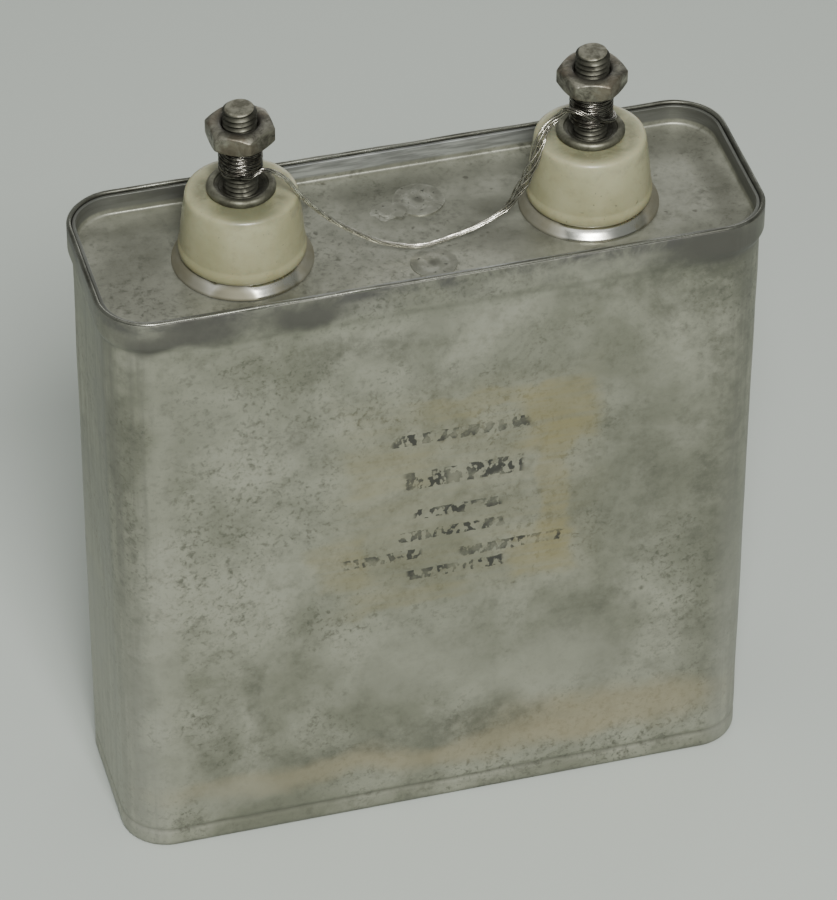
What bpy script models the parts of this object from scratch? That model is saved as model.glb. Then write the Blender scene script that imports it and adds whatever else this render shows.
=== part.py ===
"""Fixed oil-filled paper capacitor in a soldered tinplate can, with two ceramic stud terminals.

Metres, +Z up. The origin is the middle of the can's foot. X runs across the can's width, from
the left terminal to the right one, and Y through its depth, from the broad front face to the back.
A bare shorting wire, wound under both terminal nuts, holds the terminals at one potential.
"""

import math

import bmesh
import bpy
from mathutils import Matrix, Vector
from mathutils.geometry import interpolate_bezier

for old in list(bpy.data.objects):
    bpy.data.objects.remove(old, do_unlink=True)

# Can: a seamed tinplate tube, stepped out at the top to take the lid
CAN_WIDTH = 0.09525
CAN_DEPTH = 0.0306
CAN_HEIGHT = 0.0988
CORNER_RADIUS = 0.0069
CAN_SHEET = 0.0005
RIM_BAND = 0.0043
RIM_STEP = 0.00063
FOOT_BAND = 0.0032
FOOT_GROOVE = 0.0002

# Lid and bottom cover: pressed pans, sunk below the can's edges
COVER_SHEET = 0.0005
LID_RECESS = 0.0033
FOOT_RECESS = 0.0029
COVER_BEND = 0.0005
RIM_SETBACK = 0.0002

# Fits
TOUCH_GAP = 0.0003
THREAD_CLEARANCE = 0.0001
HOLE_CLEARANCE = 0.0003

# Terminals
TERMINAL_SPACING = 0.0504
STUD_RADIUS = 0.002413
STUD_RISE = 0.0259
STUD_CHAMFER = 0.0004
STUD_TAIL = 0.0015
COLLAR_HEIGHT = 0.0012
COLLAR_RADIUS = 0.0097
COLLAR_PROFILE = ((0.985, 0.0), (1.0, 0.35), (0.985, 0.75), (0.94, 1.0))
BUSHING_BASE_RADIUS = 0.0090
BUSHING_TOP_RADIUS = 0.0079
BUSHING_HEIGHT = 0.0101
BUSHING_FOOT = 0.0016
BUSHING_FOOT_STEP = 0.0002
BUSHING_SHOULDER = 0.0005
SHOULDER_ROUND = 0.3
SPIGOT_RADIUS = 0.0056
WASHER_RADIUS = 0.00485
WASHER_THICKNESS = 0.0010
WASHER_DISH = 0.0004
WASHER_LIP = 0.0009
WASHER_BEVEL = 0.0003
NUT_FLATS = 0.00873
NUT_THICKNESS = 0.0029
NUT_FACE_SHARE = 0.95
NUT_CHAMFER_ANGLE = math.radians(30)
NUT_TURN = {"left": math.radians(-27.6), "right": math.radians(-15.6)}

# Shorting wire and its turns under the nuts
WIRE_DIAMETER = 0.0007
WRAP_WALL = 0.0005
WRAP_TURNS = {"left": 7, "right": 8}
WRAP_RISE = {"left": 0.0022, "right": 0.0011}

# Solder seals over the filling and vent holes in the lid
SEAL_HOLE_RADIUS = 0.0012
SEAL_CROWN = 0.00045
SEAL_EDGE = 0.0001
SEAL_DIMPLE_RADIUS = 0.0011
SEAL_DIMPLE = 0.0002
SEAL_PROFILE = ((1.0, 0.0), (0.75, 0.6), (0.47, 1.0))
SEALS = {
    "rear": {"x": 0.0020, "wall_inset": 0.0082, "side": 1, "radius": 0.0037},
    "front": {"x": 0.0002, "wall_inset": 0.0064, "side": -1, "radius": 0.0033},
}

# Inside the lid
INNER_BUSHING_RADIUS = 0.0075
INNER_BUSHING_THICKNESS = 0.0030
INNER_WASHER_THICKNESS = 0.0008
LUG_RADIUS = 0.0043
LUG_THICKNESS = 0.0006
LUG_TONGUE_WIDTH = 0.0050
LUG_REACH = 0.0100

# Winding pack
LINER_BOARD = 0.0008
END_BOARD = 0.0015
END_BOARD_MARGIN = 0.0006
HEADROOM = 0.0020
WINDING_COUNT = 3
WINDING_END_CLEARANCE = 0.0010
WINDING_BELOW_BOARD = 0.0030
LINER_ABOVE_WINDING = 0.0015
LEAD_SHEET = 0.0005
LEAD_WIDTH = 0.0040
LEAD_FOOT = 0.0032
LINK_WIDTH = 0.0080
LINK_OFFSET = 0.0140

# Facets
CORNER_STEPS = 8
ROUND_STEPS = 40
SMALL_ROUND_STEPS = 32
SHARP_ANGLE = math.radians(32)
MERGE_DISTANCE = 1e-6
CUT_MARGIN = 0.001

# Heights, from the lid outwards and then inwards
LID_TOP = CAN_HEIGHT - LID_RECESS
LID_UNDER = LID_TOP - COVER_SHEET
COLLAR_FOOT = LID_TOP + TOUCH_GAP
BUSHING_FOOT_Z = COLLAR_FOOT + COLLAR_HEIGHT + TOUCH_GAP
BUSHING_TOP = BUSHING_FOOT_Z + BUSHING_HEIGHT
WASHER_FOOT = BUSHING_TOP + TOUCH_GAP
WASHER_TOP = WASHER_FOOT + WASHER_THICKNESS
STUD_TIP = LID_TOP + STUD_RISE
INNER_BUSHING_TOP = LID_UNDER - TOUCH_GAP
INNER_WASHER_TOP = INNER_BUSHING_TOP - INNER_BUSHING_THICKNESS - TOUCH_GAP
LUG_TOP = INNER_WASHER_TOP - INNER_WASHER_THICKNESS - TOUCH_GAP
LUG_FOOT = LUG_TOP - LUG_THICKNESS
INNER_NUT_FOOT = LUG_FOOT - TOUCH_GAP - NUT_THICKNESS
STUD_FOOT = INNER_NUT_FOOT - STUD_TAIL
TOP_BOARD_TOP = STUD_FOOT - HEADROOM
TOP_BOARD_FOOT = TOP_BOARD_TOP - END_BOARD
WINDING_TOP = TOP_BOARD_FOOT - WINDING_BELOW_BOARD
BOTTOM_COVER_TOP = FOOT_RECESS + COVER_SHEET
BOTTOM_BOARD_FOOT = BOTTOM_COVER_TOP + TOUCH_GAP
WINDING_FOOT = BOTTOM_BOARD_FOOT + END_BOARD + TOUCH_GAP

# Growth of each wall from the can's outline: negative is inwards
LID_OUTER = RIM_STEP - CAN_SHEET - TOUCH_GAP
LID_INNER = LID_OUTER - COVER_SHEET
BOTTOM_OUTER = -CAN_SHEET - TOUCH_GAP
BOTTOM_INNER = BOTTOM_OUTER - COVER_SHEET
LINER_OUTER = -CAN_SHEET - TOUCH_GAP
LINER_INNER = LINER_OUTER - LINER_BOARD
END_BOARD_EDGE = -CAN_SHEET - END_BOARD_MARGIN

BORE_RADIUS = STUD_RADIUS + TOUCH_GAP
THREAD_BORE_RADIUS = STUD_RADIUS + THREAD_CLEARANCE
WRAP_RADIUS = THREAD_BORE_RADIUS + WRAP_WALL
SIDES = {"left": -1, "right": 1}


def paint(name, colour, roughness, metallic):
    """A plain finish for one piece."""
    made = bpy.data.materials.new(name)
    made.use_nodes = True
    shader = made.node_tree.nodes["Principled BSDF"]
    shader.inputs["Base Color"].default_value = (*colour, 1)
    shader.inputs["Roughness"].default_value = roughness
    shader.inputs["Metallic"].default_value = metallic
    return made


FINISHES = {
    "tinplate": ((0.36, 0.36, 0.31), 0.50, 0.85),
    "solder": ((0.42, 0.42, 0.38), 0.40, 0.90),
    "bright_tin": ((0.66, 0.66, 0.62), 0.25, 1.00),
    "dark_steel": ((0.13, 0.12, 0.11), 0.45, 0.90),
    "ceramic": ((0.50, 0.48, 0.36), 0.35, 0.00),
    "tinned_wire": ((0.72, 0.71, 0.68), 0.25, 1.00),
    "pressboard": ((0.42, 0.27, 0.14), 0.85, 0.00),
    "kraft_paper": ((0.50, 0.36, 0.20), 0.80, 0.00),
    "copper_strap": ((0.63, 0.35, 0.22), 0.35, 1.00),
}


def add(name, bm, finish):
    """Turn a bmesh into an object with a material of its own."""
    bmesh.ops.recalc_face_normals(bm, faces=bm.faces)
    mesh = bpy.data.meshes.new(name)
    bm.to_mesh(mesh)
    bm.free()
    mesh.shade_smooth()
    mesh.set_sharp_from_angle(angle=SHARP_ANGLE)
    mesh.materials.append(paint(f"{name}_{finish}", *FINISHES[finish]))
    piece = bpy.data.objects.new(name, mesh)
    bpy.context.collection.objects.link(piece)
    return piece


def boolean(piece, cutter, operation="DIFFERENCE"):
    """Cut a piece with a hidden helper, or keep only what they share."""
    cutter.hide_render = True
    cutter.display_type = "WIRE"
    modifier = piece.modifiers.new(cutter.name, "BOOLEAN")
    modifier.operation = operation
    modifier.object = cutter


def turned(name, profile, finish, at=(0, 0), steps=ROUND_STEPS):
    """Spin a (radius, height) profile about the upright line through at.

    A profile that starts and ends on the axis makes a solid body, and any other closes on itself.
    """
    bm = bmesh.new()
    verts = [bm.verts.new((radius, 0, height)) for radius, height in profile]
    ends = verts[1:] + verts[:1] if profile[0][0] > 0 else verts[1:]
    edges = [bm.edges.new(pair) for pair in zip(verts, ends)]
    bmesh.ops.spin(bm, geom=verts + edges, axis=(0, 0, 1), cent=(0, 0, 0), angle=math.tau, steps=steps)
    bmesh.ops.remove_doubles(bm, verts=bm.verts, dist=MERGE_DISTANCE)
    piece = add(name, bm, finish)
    piece.location = (at[0], at[1], 0)
    return piece


def rod(name, radius, foot, top, at=(0, 0), steps=ROUND_STEPS):
    """A plain round cutter."""
    return turned(name, [(0, foot), (radius, foot), (radius, top), (0, top)], "dark_steel", at, steps)


def arc(centre, radius, start, end, steps):
    """Points along a circular arc, both ends included."""
    angles = [start + (end - start) * i / steps for i in range(steps + 1)]
    return [(centre[0] + radius * math.cos(a), centre[1] + radius * math.sin(a)) for a in angles]


def rounded_outline(half_width, half_depth, radius, steps=CORNER_STEPS):
    """A rectangle with round corners, counter-clockwise from the corner at +X, +Y."""
    points = []
    for corner, (sx, sy) in enumerate(((1, 1), (-1, 1), (-1, -1), (1, -1))):
        centre = (sx * (half_width - radius), sy * (half_depth - radius))
        start = corner * math.pi / 2
        points += arc(centre, radius, start, start + math.pi / 2, steps)
    return points


def can_outline(growth):
    """The can's outline, moved out by growth or in where it is negative."""
    return rounded_outline(CAN_WIDTH / 2 + growth, CAN_DEPTH / 2 + growth, CORNER_RADIUS + growth)


def swept(name, profile, finish, closed):
    """Join can outlines down a (growth, height) profile; an open profile has its two ends filled."""
    bm = bmesh.new()
    rings = [[bm.verts.new((x, y, height)) for x, y in can_outline(growth)] for growth, height in profile]
    followers = rings[1:] + rings[:1] if closed else rings[1:]
    for ring, follower in zip(rings, followers):
        for quad in zip(ring, ring[1:] + ring[:1], follower[1:] + follower[:1], follower):
            bm.faces.new(quad)
    if not closed:
        bm.faces.new(rings[0])
        bm.faces.new(rings[-1])
    return add(name, bm, finish)


def extruded(name, points, foot, top, finish, frame=None):
    """A flat outline raised from foot to top, then put into another frame if one is given."""
    bm = bmesh.new()
    face = bm.faces.new([bm.verts.new((x, y, foot)) for x, y in points])
    grown = bmesh.ops.extrude_face_region(bm, geom=[face])
    risen = [item for item in grown["geom"] if isinstance(item, bmesh.types.BMVert)]
    bmesh.ops.translate(bm, vec=(0, 0, top - foot), verts=risen)
    if frame:
        bmesh.ops.transform(bm, matrix=frame, verts=bm.verts)
    return add(name, bm, finish)


def box_outline(x, y, width, depth):
    """A rectangle about (x, y)."""
    w, d = width / 2, depth / 2
    return [(x - w, y - d), (x + w, y - d), (x + w, y + d), (x - w, y + d)]


# Can body: the outside runs up from the foot, over the rim and down the inside
step_z = CAN_HEIGHT - RIM_BAND
edge = CAN_SHEET / 3
swept(
    "can_body",
    [
        (-edge, 0),
        (0, edge),
        (0, FOOT_BAND - 2 * FOOT_GROOVE),
        (-FOOT_GROOVE, FOOT_BAND),
        (0, FOOT_BAND + 2 * FOOT_GROOVE),
        (0, step_z - RIM_STEP),
        (RIM_STEP, step_z),
        (RIM_STEP, CAN_HEIGHT - edge),
        (RIM_STEP - edge, CAN_HEIGHT),
        (RIM_STEP - CAN_SHEET + edge, CAN_HEIGHT),
        (RIM_STEP - CAN_SHEET, CAN_HEIGHT - edge),
        (RIM_STEP - CAN_SHEET, step_z + CAN_SHEET / 2),
        (-CAN_SHEET, step_z - RIM_STEP + CAN_SHEET / 2),
        (-CAN_SHEET, 0),
    ],
    "tinplate",
    closed=True,
)

# Bottom cover: a pan pressed up into the foot
swept(
    "bottom_cover",
    [
        (BOTTOM_OUTER - 2 * COVER_BEND, BOTTOM_COVER_TOP),
        (BOTTOM_OUTER - COVER_BEND / 2, BOTTOM_COVER_TOP - COVER_BEND / 2),
        (BOTTOM_OUTER, BOTTOM_COVER_TOP - 2 * COVER_BEND),
        (BOTTOM_OUTER, RIM_SETBACK),
        (BOTTOM_INNER, RIM_SETBACK),
        (BOTTOM_INNER, FOOT_RECESS - COVER_BEND),
        (BOTTOM_INNER - COVER_BEND, FOOT_RECESS),
    ],
    "tinplate",
    closed=False,
)

# Lid: a pan whose flange stands inside the can's stepped rim
lid = swept(
    "lid",
    [
        (LID_INNER - COVER_BEND, LID_TOP),
        (LID_INNER, LID_TOP + COVER_BEND),
        (LID_INNER, CAN_HEIGHT - RIM_SETBACK),
        (LID_OUTER, CAN_HEIGHT - RIM_SETBACK),
        (LID_OUTER, LID_UNDER + 2 * COVER_BEND),
        (LID_OUTER - COVER_BEND / 2, LID_UNDER + COVER_BEND / 2),
        (LID_OUTER - 2 * COVER_BEND, LID_UNDER),
    ],
    "tinplate",
    closed=False,
)

# Solder seals: a shallow button over each hole, with a plug down through the lid
lid_inner_depth = CAN_DEPTH / 2 + LID_INNER
for where, seal in SEALS.items():
    place = (seal["x"], seal["side"] * (lid_inner_depth - seal["wall_inset"]))
    hole = rod(f"seal_hole_{where}", SEAL_HOLE_RADIUS, LID_UNDER - CUT_MARGIN, LID_TOP + CUT_MARGIN, place)
    boolean(lid, hole)
    foot = LID_TOP + TOUCH_GAP
    crown = foot + SEAL_EDGE + SEAL_CROWN
    plug = SEAL_HOLE_RADIUS - HOLE_CLEARANCE
    turned(
        f"fill_seal_{where}",
        [
            (0, LID_UNDER),
            (plug, LID_UNDER),
            (plug, foot),
            (seal["radius"], foot),
            *[(width * seal["radius"], foot + SEAL_EDGE + rise * SEAL_CROWN) for width, rise in SEAL_PROFILE],
            (SEAL_DIMPLE_RADIUS, crown - SEAL_DIMPLE / 4),
            (SEAL_DIMPLE_RADIUS / 2, crown - SEAL_DIMPLE),
            (0, crown - SEAL_DIMPLE),
        ],
        "solder",
        place,
        SMALL_ROUND_STEPS,
    )


def hexagon_nut(name, x, foot, finish, turn):
    """A chamfered hexagon nut round the stud at x, standing on foot."""
    top = foot + NUT_THICKNESS
    corner_radius = NUT_FLATS / math.sqrt(3)
    corners = [turn + math.radians(60 * i) for i in range(6)]
    outline = [(corner_radius * math.cos(a), corner_radius * math.sin(a)) for a in corners]
    nut = extruded(name, outline, foot, top, finish)
    nut.location = (x, 0, 0)
    face_radius = NUT_FACE_SHARE * NUT_FLATS / 2
    slope = math.tan(NUT_CHAMFER_ANGLE)
    inner = face_radius - CUT_MARGIN
    outer = corner_radius + CUT_MARGIN
    drop = (outer - face_radius) * slope
    lift = CUT_MARGIN * slope
    barrel = [
        (0, foot - lift),
        (inner, foot - lift),
        (outer, foot + drop),
        (outer, top - drop),
        (inner, top + lift),
        (0, top + lift),
    ]
    boolean(nut, turned(f"{name}_chamfer", barrel, finish, (x, 0)), "INTERSECT")
    bore_ends = (foot - CUT_MARGIN, top + CUT_MARGIN)
    bore = rod(f"{name}_bore", THREAD_BORE_RADIUS, *bore_ends, (x, 0), SMALL_ROUND_STEPS)
    boolean(nut, bore)


# Terminals: each stack is centred on its stud, from the nut on the thread down to the lug inside
for side, sign in SIDES.items():
    x = sign * TERMINAL_SPACING / 2
    at = (x, 0)
    spigot_hole = SPIGOT_RADIUS + HOLE_CLEARANCE
    hole = rod(f"bushing_hole_{side}", spigot_hole, LID_UNDER - CUT_MARGIN, LID_TOP + CUT_MARGIN, at)
    boolean(lid, hole)

    turned(
        f"bushing_collar_{side}",
        [
            (spigot_hole, COLLAR_FOOT),
            *[(width * COLLAR_RADIUS, COLLAR_FOOT + rise * COLLAR_HEIGHT) for width, rise in COLLAR_PROFILE],
            (spigot_hole, COLLAR_FOOT + COLLAR_HEIGHT),
        ],
        "bright_tin",
        at,
    )

    foot_top = BUSHING_FOOT_Z + BUSHING_FOOT
    shoulder_round = SHOULDER_ROUND * BUSHING_SHOULDER
    turned(
        f"bushing_{side}",
        [
            (BORE_RADIUS, LID_UNDER),
            (SPIGOT_RADIUS, LID_UNDER),
            (SPIGOT_RADIUS, BUSHING_FOOT_Z),
            (BUSHING_BASE_RADIUS - BUSHING_SHOULDER / 2, BUSHING_FOOT_Z),
            (BUSHING_BASE_RADIUS, BUSHING_FOOT_Z + BUSHING_SHOULDER / 2),
            (BUSHING_BASE_RADIUS, foot_top),
            (BUSHING_BASE_RADIUS - BUSHING_FOOT_STEP, foot_top + BUSHING_FOOT_STEP),
            (BUSHING_TOP_RADIUS, BUSHING_TOP - BUSHING_SHOULDER),
            (BUSHING_TOP_RADIUS - shoulder_round, BUSHING_TOP - shoulder_round),
            (BUSHING_TOP_RADIUS - BUSHING_SHOULDER, BUSHING_TOP),
            (BORE_RADIUS, BUSHING_TOP),
        ],
        "ceramic",
        at,
    )

    turned(
        f"terminal_washer_{side}",
        [
            (BORE_RADIUS, WASHER_FOOT),
            (WASHER_RADIUS - WASHER_BEVEL, WASHER_FOOT),
            (WASHER_RADIUS, WASHER_FOOT + WASHER_BEVEL),
            (WASHER_RADIUS, WASHER_TOP - WASHER_BEVEL),
            (WASHER_RADIUS - WASHER_BEVEL, WASHER_TOP),
            (WASHER_RADIUS - WASHER_LIP, WASHER_TOP),
            (BORE_RADIUS + WASHER_THICKNESS / 2, WASHER_TOP - WASHER_DISH),
            (BORE_RADIUS, WASHER_TOP - WASHER_DISH),
        ],
        "dark_steel",
        at,
        SMALL_ROUND_STEPS,
    )

    turned(
        f"terminal_stud_{side}",
        [
            (0, STUD_FOOT),
            (STUD_RADIUS - STUD_CHAMFER, STUD_FOOT),
            (STUD_RADIUS, STUD_FOOT + STUD_CHAMFER),
            (STUD_RADIUS, STUD_TIP - STUD_CHAMFER),
            (STUD_RADIUS - STUD_CHAMFER, STUD_TIP),
            (0, STUD_TIP),
        ],
        "dark_steel",
        at,
        SMALL_ROUND_STEPS,
    )

    wrap_foot = WASHER_TOP + WRAP_RISE[side]
    wrap_top = wrap_foot + WRAP_TURNS[side] * WIRE_DIAMETER
    turned(
        f"wire_wrap_{side}",
        [
            (THREAD_BORE_RADIUS, wrap_foot),
            (WRAP_RADIUS, wrap_foot),
            (WRAP_RADIUS, wrap_top),
            (THREAD_BORE_RADIUS, wrap_top),
        ],
        "tinned_wire",
        at,
        SMALL_ROUND_STEPS,
    )
    hexagon_nut(f"terminal_nut_{side}", x, wrap_top + TOUCH_GAP, "dark_steel", NUT_TURN[side])

    inner_bushing_foot = INNER_BUSHING_TOP - INNER_BUSHING_THICKNESS
    turned(
        f"inner_bushing_{side}",
        [
            (BORE_RADIUS, inner_bushing_foot),
            (INNER_BUSHING_RADIUS, inner_bushing_foot),
            (INNER_BUSHING_RADIUS, INNER_BUSHING_TOP),
            (BORE_RADIUS, INNER_BUSHING_TOP),
        ],
        "ceramic",
        at,
        SMALL_ROUND_STEPS,
    )
    turned(
        f"inner_washer_{side}",
        [
            (BORE_RADIUS, INNER_WASHER_TOP - INNER_WASHER_THICKNESS),
            (WASHER_RADIUS, INNER_WASHER_TOP - INNER_WASHER_THICKNESS),
            (WASHER_RADIUS, INNER_WASHER_TOP),
            (BORE_RADIUS, INNER_WASHER_TOP),
        ],
        "dark_steel",
        at,
        SMALL_ROUND_STEPS,
    )
    hexagon_nut(f"inner_nut_{side}", x, INNER_NUT_FOOT, "dark_steel", NUT_TURN[side])

    # The left lead drops to the front winding and the right one to the rear
    half_tongue = LUG_TONGUE_WIDTH / 2
    shoulder = math.asin(half_tongue / LUG_RADIUS)
    tongue_side = math.pi / 2 + shoulder
    lug_outline = arc((0, 0), LUG_RADIUS, tongue_side, math.tau + math.pi - tongue_side, SMALL_ROUND_STEPS)
    lug_outline += [(half_tongue, LUG_REACH), (-half_tongue, LUG_REACH)]
    lug = extruded(
        f"solder_lug_{side}",
        [(sign * px, sign * py) for px, py in lug_outline],
        LUG_FOOT,
        LUG_TOP,
        "copper_strap",
    )
    lug.location = (x, 0, 0)
    bore_ends = (LUG_FOOT - CUT_MARGIN, LUG_TOP + CUT_MARGIN)
    bore = rod(f"lug_bore_{side}", BORE_RADIUS, *bore_ends, at, SMALL_ROUND_STEPS)
    boolean(lug, bore)


# Insulation round the windings
liner_top = WINDING_TOP + LINER_ABOVE_WINDING
swept(
    "liner",
    [
        (LINER_OUTER, WINDING_FOOT),
        (LINER_OUTER, liner_top),
        (LINER_INNER, liner_top),
        (LINER_INNER, WINDING_FOOT),
    ],
    "pressboard",
    closed=True,
)
extruded(
    "bottom_board",
    can_outline(END_BOARD_EDGE),
    BOTTOM_BOARD_FOOT,
    BOTTOM_BOARD_FOOT + END_BOARD,
    "pressboard",
)
top_board = extruded("top_board", can_outline(END_BOARD_EDGE), TOP_BOARD_FOOT, TOP_BOARD_TOP, "pressboard")

# Windings: flattened rolls of paper and foil, side by side through the depth
pack_depth = CAN_DEPTH + 2 * LINER_INNER
winding_depth = (pack_depth - (WINDING_COUNT + 1) * TOUCH_GAP) / WINDING_COUNT
winding_half_width = CAN_WIDTH / 2 + LINER_INNER - WINDING_END_CLEARANCE
winding_pitch = winding_depth + TOUCH_GAP
winding_rows = [(i - (WINDING_COUNT - 1) / 2) * winding_pitch for i in range(WINDING_COUNT)]
roll = rounded_outline(winding_half_width, winding_depth / 2, winding_depth / 2 - MERGE_DISTANCE)
for name, row in zip(("winding_front", "winding_middle", "winding_rear"), winding_rows):
    winding = extruded(name, roll, WINDING_FOOT, WINDING_TOP, "kraft_paper")
    winding.location = (0, row, 0)

# Leads: a strap hangs from each lug, passes the top board and lies on its winding
side_frame = Matrix(((0, 0, 1, 0), (1, 0, 0, 0), (0, 1, 0, 0), (0, 0, 0, 1)))
lead_top = LUG_FOOT - TOUCH_GAP
lead_foot = WINDING_TOP + TOUCH_GAP
for (side, sign), row in zip(SIDES.items(), (winding_rows[0], winding_rows[-1])):
    strap = [
        (-LEAD_FOOT, 0),
        (LEAD_SHEET, 0),
        (LEAD_SHEET, lead_top - lead_foot),
        (-LEAD_FOOT, lead_top - lead_foot),
        (-LEAD_FOOT, lead_top - lead_foot - LEAD_SHEET),
        (0, lead_top - lead_foot - LEAD_SHEET),
        (0, LEAD_SHEET),
        (-LEAD_FOOT, LEAD_SHEET),
    ]
    lead = extruded(
        f"lead_{side}",
        [(sign * y, lead_foot + z) for y, z in strap],
        -LEAD_WIDTH / 2,
        LEAD_WIDTH / 2,
        "copper_strap",
        side_frame,
    )
    lead.location = (sign * TERMINAL_SPACING / 2, row, 0)
    slot_outline = box_outline(
        sign * TERMINAL_SPACING / 2,
        row + sign * LEAD_SHEET / 2,
        LEAD_WIDTH + 2 * HOLE_CLEARANCE,
        LEAD_SHEET + 2 * HOLE_CLEARANCE,
    )
    slot_ends = (TOP_BOARD_FOOT - CUT_MARGIN, TOP_BOARD_TOP + CUT_MARGIN)
    slot = extruded(f"lead_slot_{side}", slot_outline, *slot_ends, "pressboard")
    boolean(top_board, slot)

# Links join neighbouring windings in series, at opposite ends
for name, x, rows in (
    ("link_front", LINK_OFFSET, winding_rows[0:2]),
    ("link_rear", -LINK_OFFSET, winding_rows[1:3]),
):
    middle = sum(rows) / 2
    extruded(
        name,
        box_outline(x, middle, LINK_WIDTH, winding_depth),
        WINDING_TOP + TOUCH_GAP,
        WINDING_TOP + TOUCH_GAP + LEAD_SHEET,
        "copper_strap",
    )

# Shorting wire: off the left wrap, down between the bushings and up to the right wrap. Each point
# is a share of the way to a stud, a shift from there in wrap reaches, a depth in wrap reaches,
# and a rise above the lid. A wrap reach is from a stud's axis to a wire lying on its wrap.
WRAP_REACH = WRAP_RADIUS + TOUCH_GAP + WIRE_DIAMETER / 2
ROUTE = [
    (-1.0, 0.08, -1.0, 0.0165),
    (-1.0, 0.355, -1.01, 0.0171),
    (-1.0, 0.655, -1.01, 0.0174),
    (-1.0, 1.037, -1.01, 0.0168),
    (-1.0, 1.529, -1.01, 0.0151),
    (-0.726, 0, -1.01, 0.0130),
    (-0.663, 0, -1.01, 0.0108),
    (-0.571, 0, -1.04, 0.0081),
    (-0.468, 0, -1.09, 0.0058),
    (-0.321, 0, -1.23, 0.0033),
    (-0.222, 0, -1.34, 0.0022),
    (-0.111, 0, -1.42, 0.0014),
    (-0.032, 0, -1.47, 0.0012),
    (0.052, 0, -1.45, 0.0013),
    (0.155, 0, -1.36, 0.0016),
    (0.266, 0, -1.31, 0.0022),
    (0.373, 0, -1.26, 0.0032),
    (0.46, 0, -1.17, 0.0043),
    (0.528, 0, -1.12, 0.0064),
    (0.591, 0, -1.04, 0.0088),
    (0.627, 0, -0.96, 0.0104),
    (0.651, 0, -0.85, 0.0118),
    (0.683, 0, -0.63, 0.0139),
    (0.706, 0, -0.49, 0.0147),
    (1.0, -1.829, -0.38, 0.0152),
    (1.0, -1.638, -0.30, 0.0157),
    (1.0, -1.42, -0.27, 0.0163),
    (1.0, -1.256, -0.30, 0.0169),
    (1.0, -1.119, -0.355, 0.0175),
]
WIRE_STEP = 2.5 * WIRE_DIAMETER
FINE_STEPS = 12


def smooth_points(points, step):
    """Points about a step apart on a smooth curve through a route's own points."""
    route = [Vector(p) for p in points]
    before = [route[0], *route[:-1]]
    after = [*route[1:], route[-1]]
    pulls = [(b - a) / 6 for a, b in zip(before, after)]
    fine = [route[0]]
    for i in range(len(route) - 1):
        start, end = route[i], route[i + 1]
        handles = (start, start + pulls[i], end - pulls[i + 1], end)
        fine += interpolate_bezier(*handles, FINE_STEPS + 1)[1:]
    along = [0.0]
    for a, b in zip(fine, fine[1:]):
        along.append(along[-1] + (b - a).length)
    count = max(2, round(along[-1] / step))
    spaced = []
    for i in range(count + 1):
        target = along[-1] * i / count
        j = min(max(k for k, s in enumerate(along) if s <= target + MERGE_DISTANCE), len(fine) - 2)
        share = (target - along[j]) / (along[j + 1] - along[j])
        spaced.append(fine[j].lerp(fine[j + 1], min(share, 1.0)))
    return spaced


wire_data = bpy.data.curves.new("shorting_wire", "CURVE")
wire_data.dimensions = "3D"
wire_data.bevel_depth = WIRE_DIAMETER / 2
wire_data.bevel_resolution = 2
wire_data.use_fill_caps = True
half_spacing = TERMINAL_SPACING / 2
route_points = [
    (share * half_spacing + shift * WRAP_REACH, depth * WRAP_REACH, LID_TOP + rise)
    for share, shift, depth, rise in ROUTE
]
wire_points = smooth_points(route_points, WIRE_STEP)
spline = wire_data.splines.new("POLY")
spline.points.add(len(wire_points) - 1)
for knot, place in zip(spline.points, wire_points):
    knot.co = (*place, 1)
wire_data.materials.append(paint("shorting_wire_tinned", *FINISHES["tinned_wire"]))
bpy.context.collection.objects.link(bpy.data.objects.new("shorting_wire", wire_data))
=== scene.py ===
"""Sealed oil-filled capacitor: tinplate can, two ceramic stud terminals and a bare shorting wire."""

import math

import bmesh
import bpy
from mathutils import Matrix, Vector, noise
from mathutils.geometry import interpolate_bezier


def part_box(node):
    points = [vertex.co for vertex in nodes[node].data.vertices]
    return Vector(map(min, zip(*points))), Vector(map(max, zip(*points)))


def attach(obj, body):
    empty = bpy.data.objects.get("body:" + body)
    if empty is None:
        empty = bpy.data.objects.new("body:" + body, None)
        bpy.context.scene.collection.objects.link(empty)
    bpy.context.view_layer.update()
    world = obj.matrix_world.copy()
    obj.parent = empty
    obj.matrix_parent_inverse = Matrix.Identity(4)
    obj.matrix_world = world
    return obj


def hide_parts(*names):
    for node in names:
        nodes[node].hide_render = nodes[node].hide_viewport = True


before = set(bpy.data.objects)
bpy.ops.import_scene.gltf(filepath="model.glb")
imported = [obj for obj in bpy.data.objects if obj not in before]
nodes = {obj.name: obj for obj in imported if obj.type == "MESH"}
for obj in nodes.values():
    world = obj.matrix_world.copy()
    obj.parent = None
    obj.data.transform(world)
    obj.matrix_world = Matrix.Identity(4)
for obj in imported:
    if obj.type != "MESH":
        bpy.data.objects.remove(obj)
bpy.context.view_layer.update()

# Camera: a long lens, held well above the can and a little to its left, looking down on the
# lid and the broad front face.
CAMERA_AZIMUTH = math.radians(-15.58)
CAMERA_ELEVATION = math.radians(39.71)
CAMERA_ROLL = math.radians(0.225)
CAMERA_DISTANCE = 0.7723
CAMERA_LENS = 212.4
SENSOR = 36.0
LOOK_AT = Vector((0.00037, 0.0, 0.05502))

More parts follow.
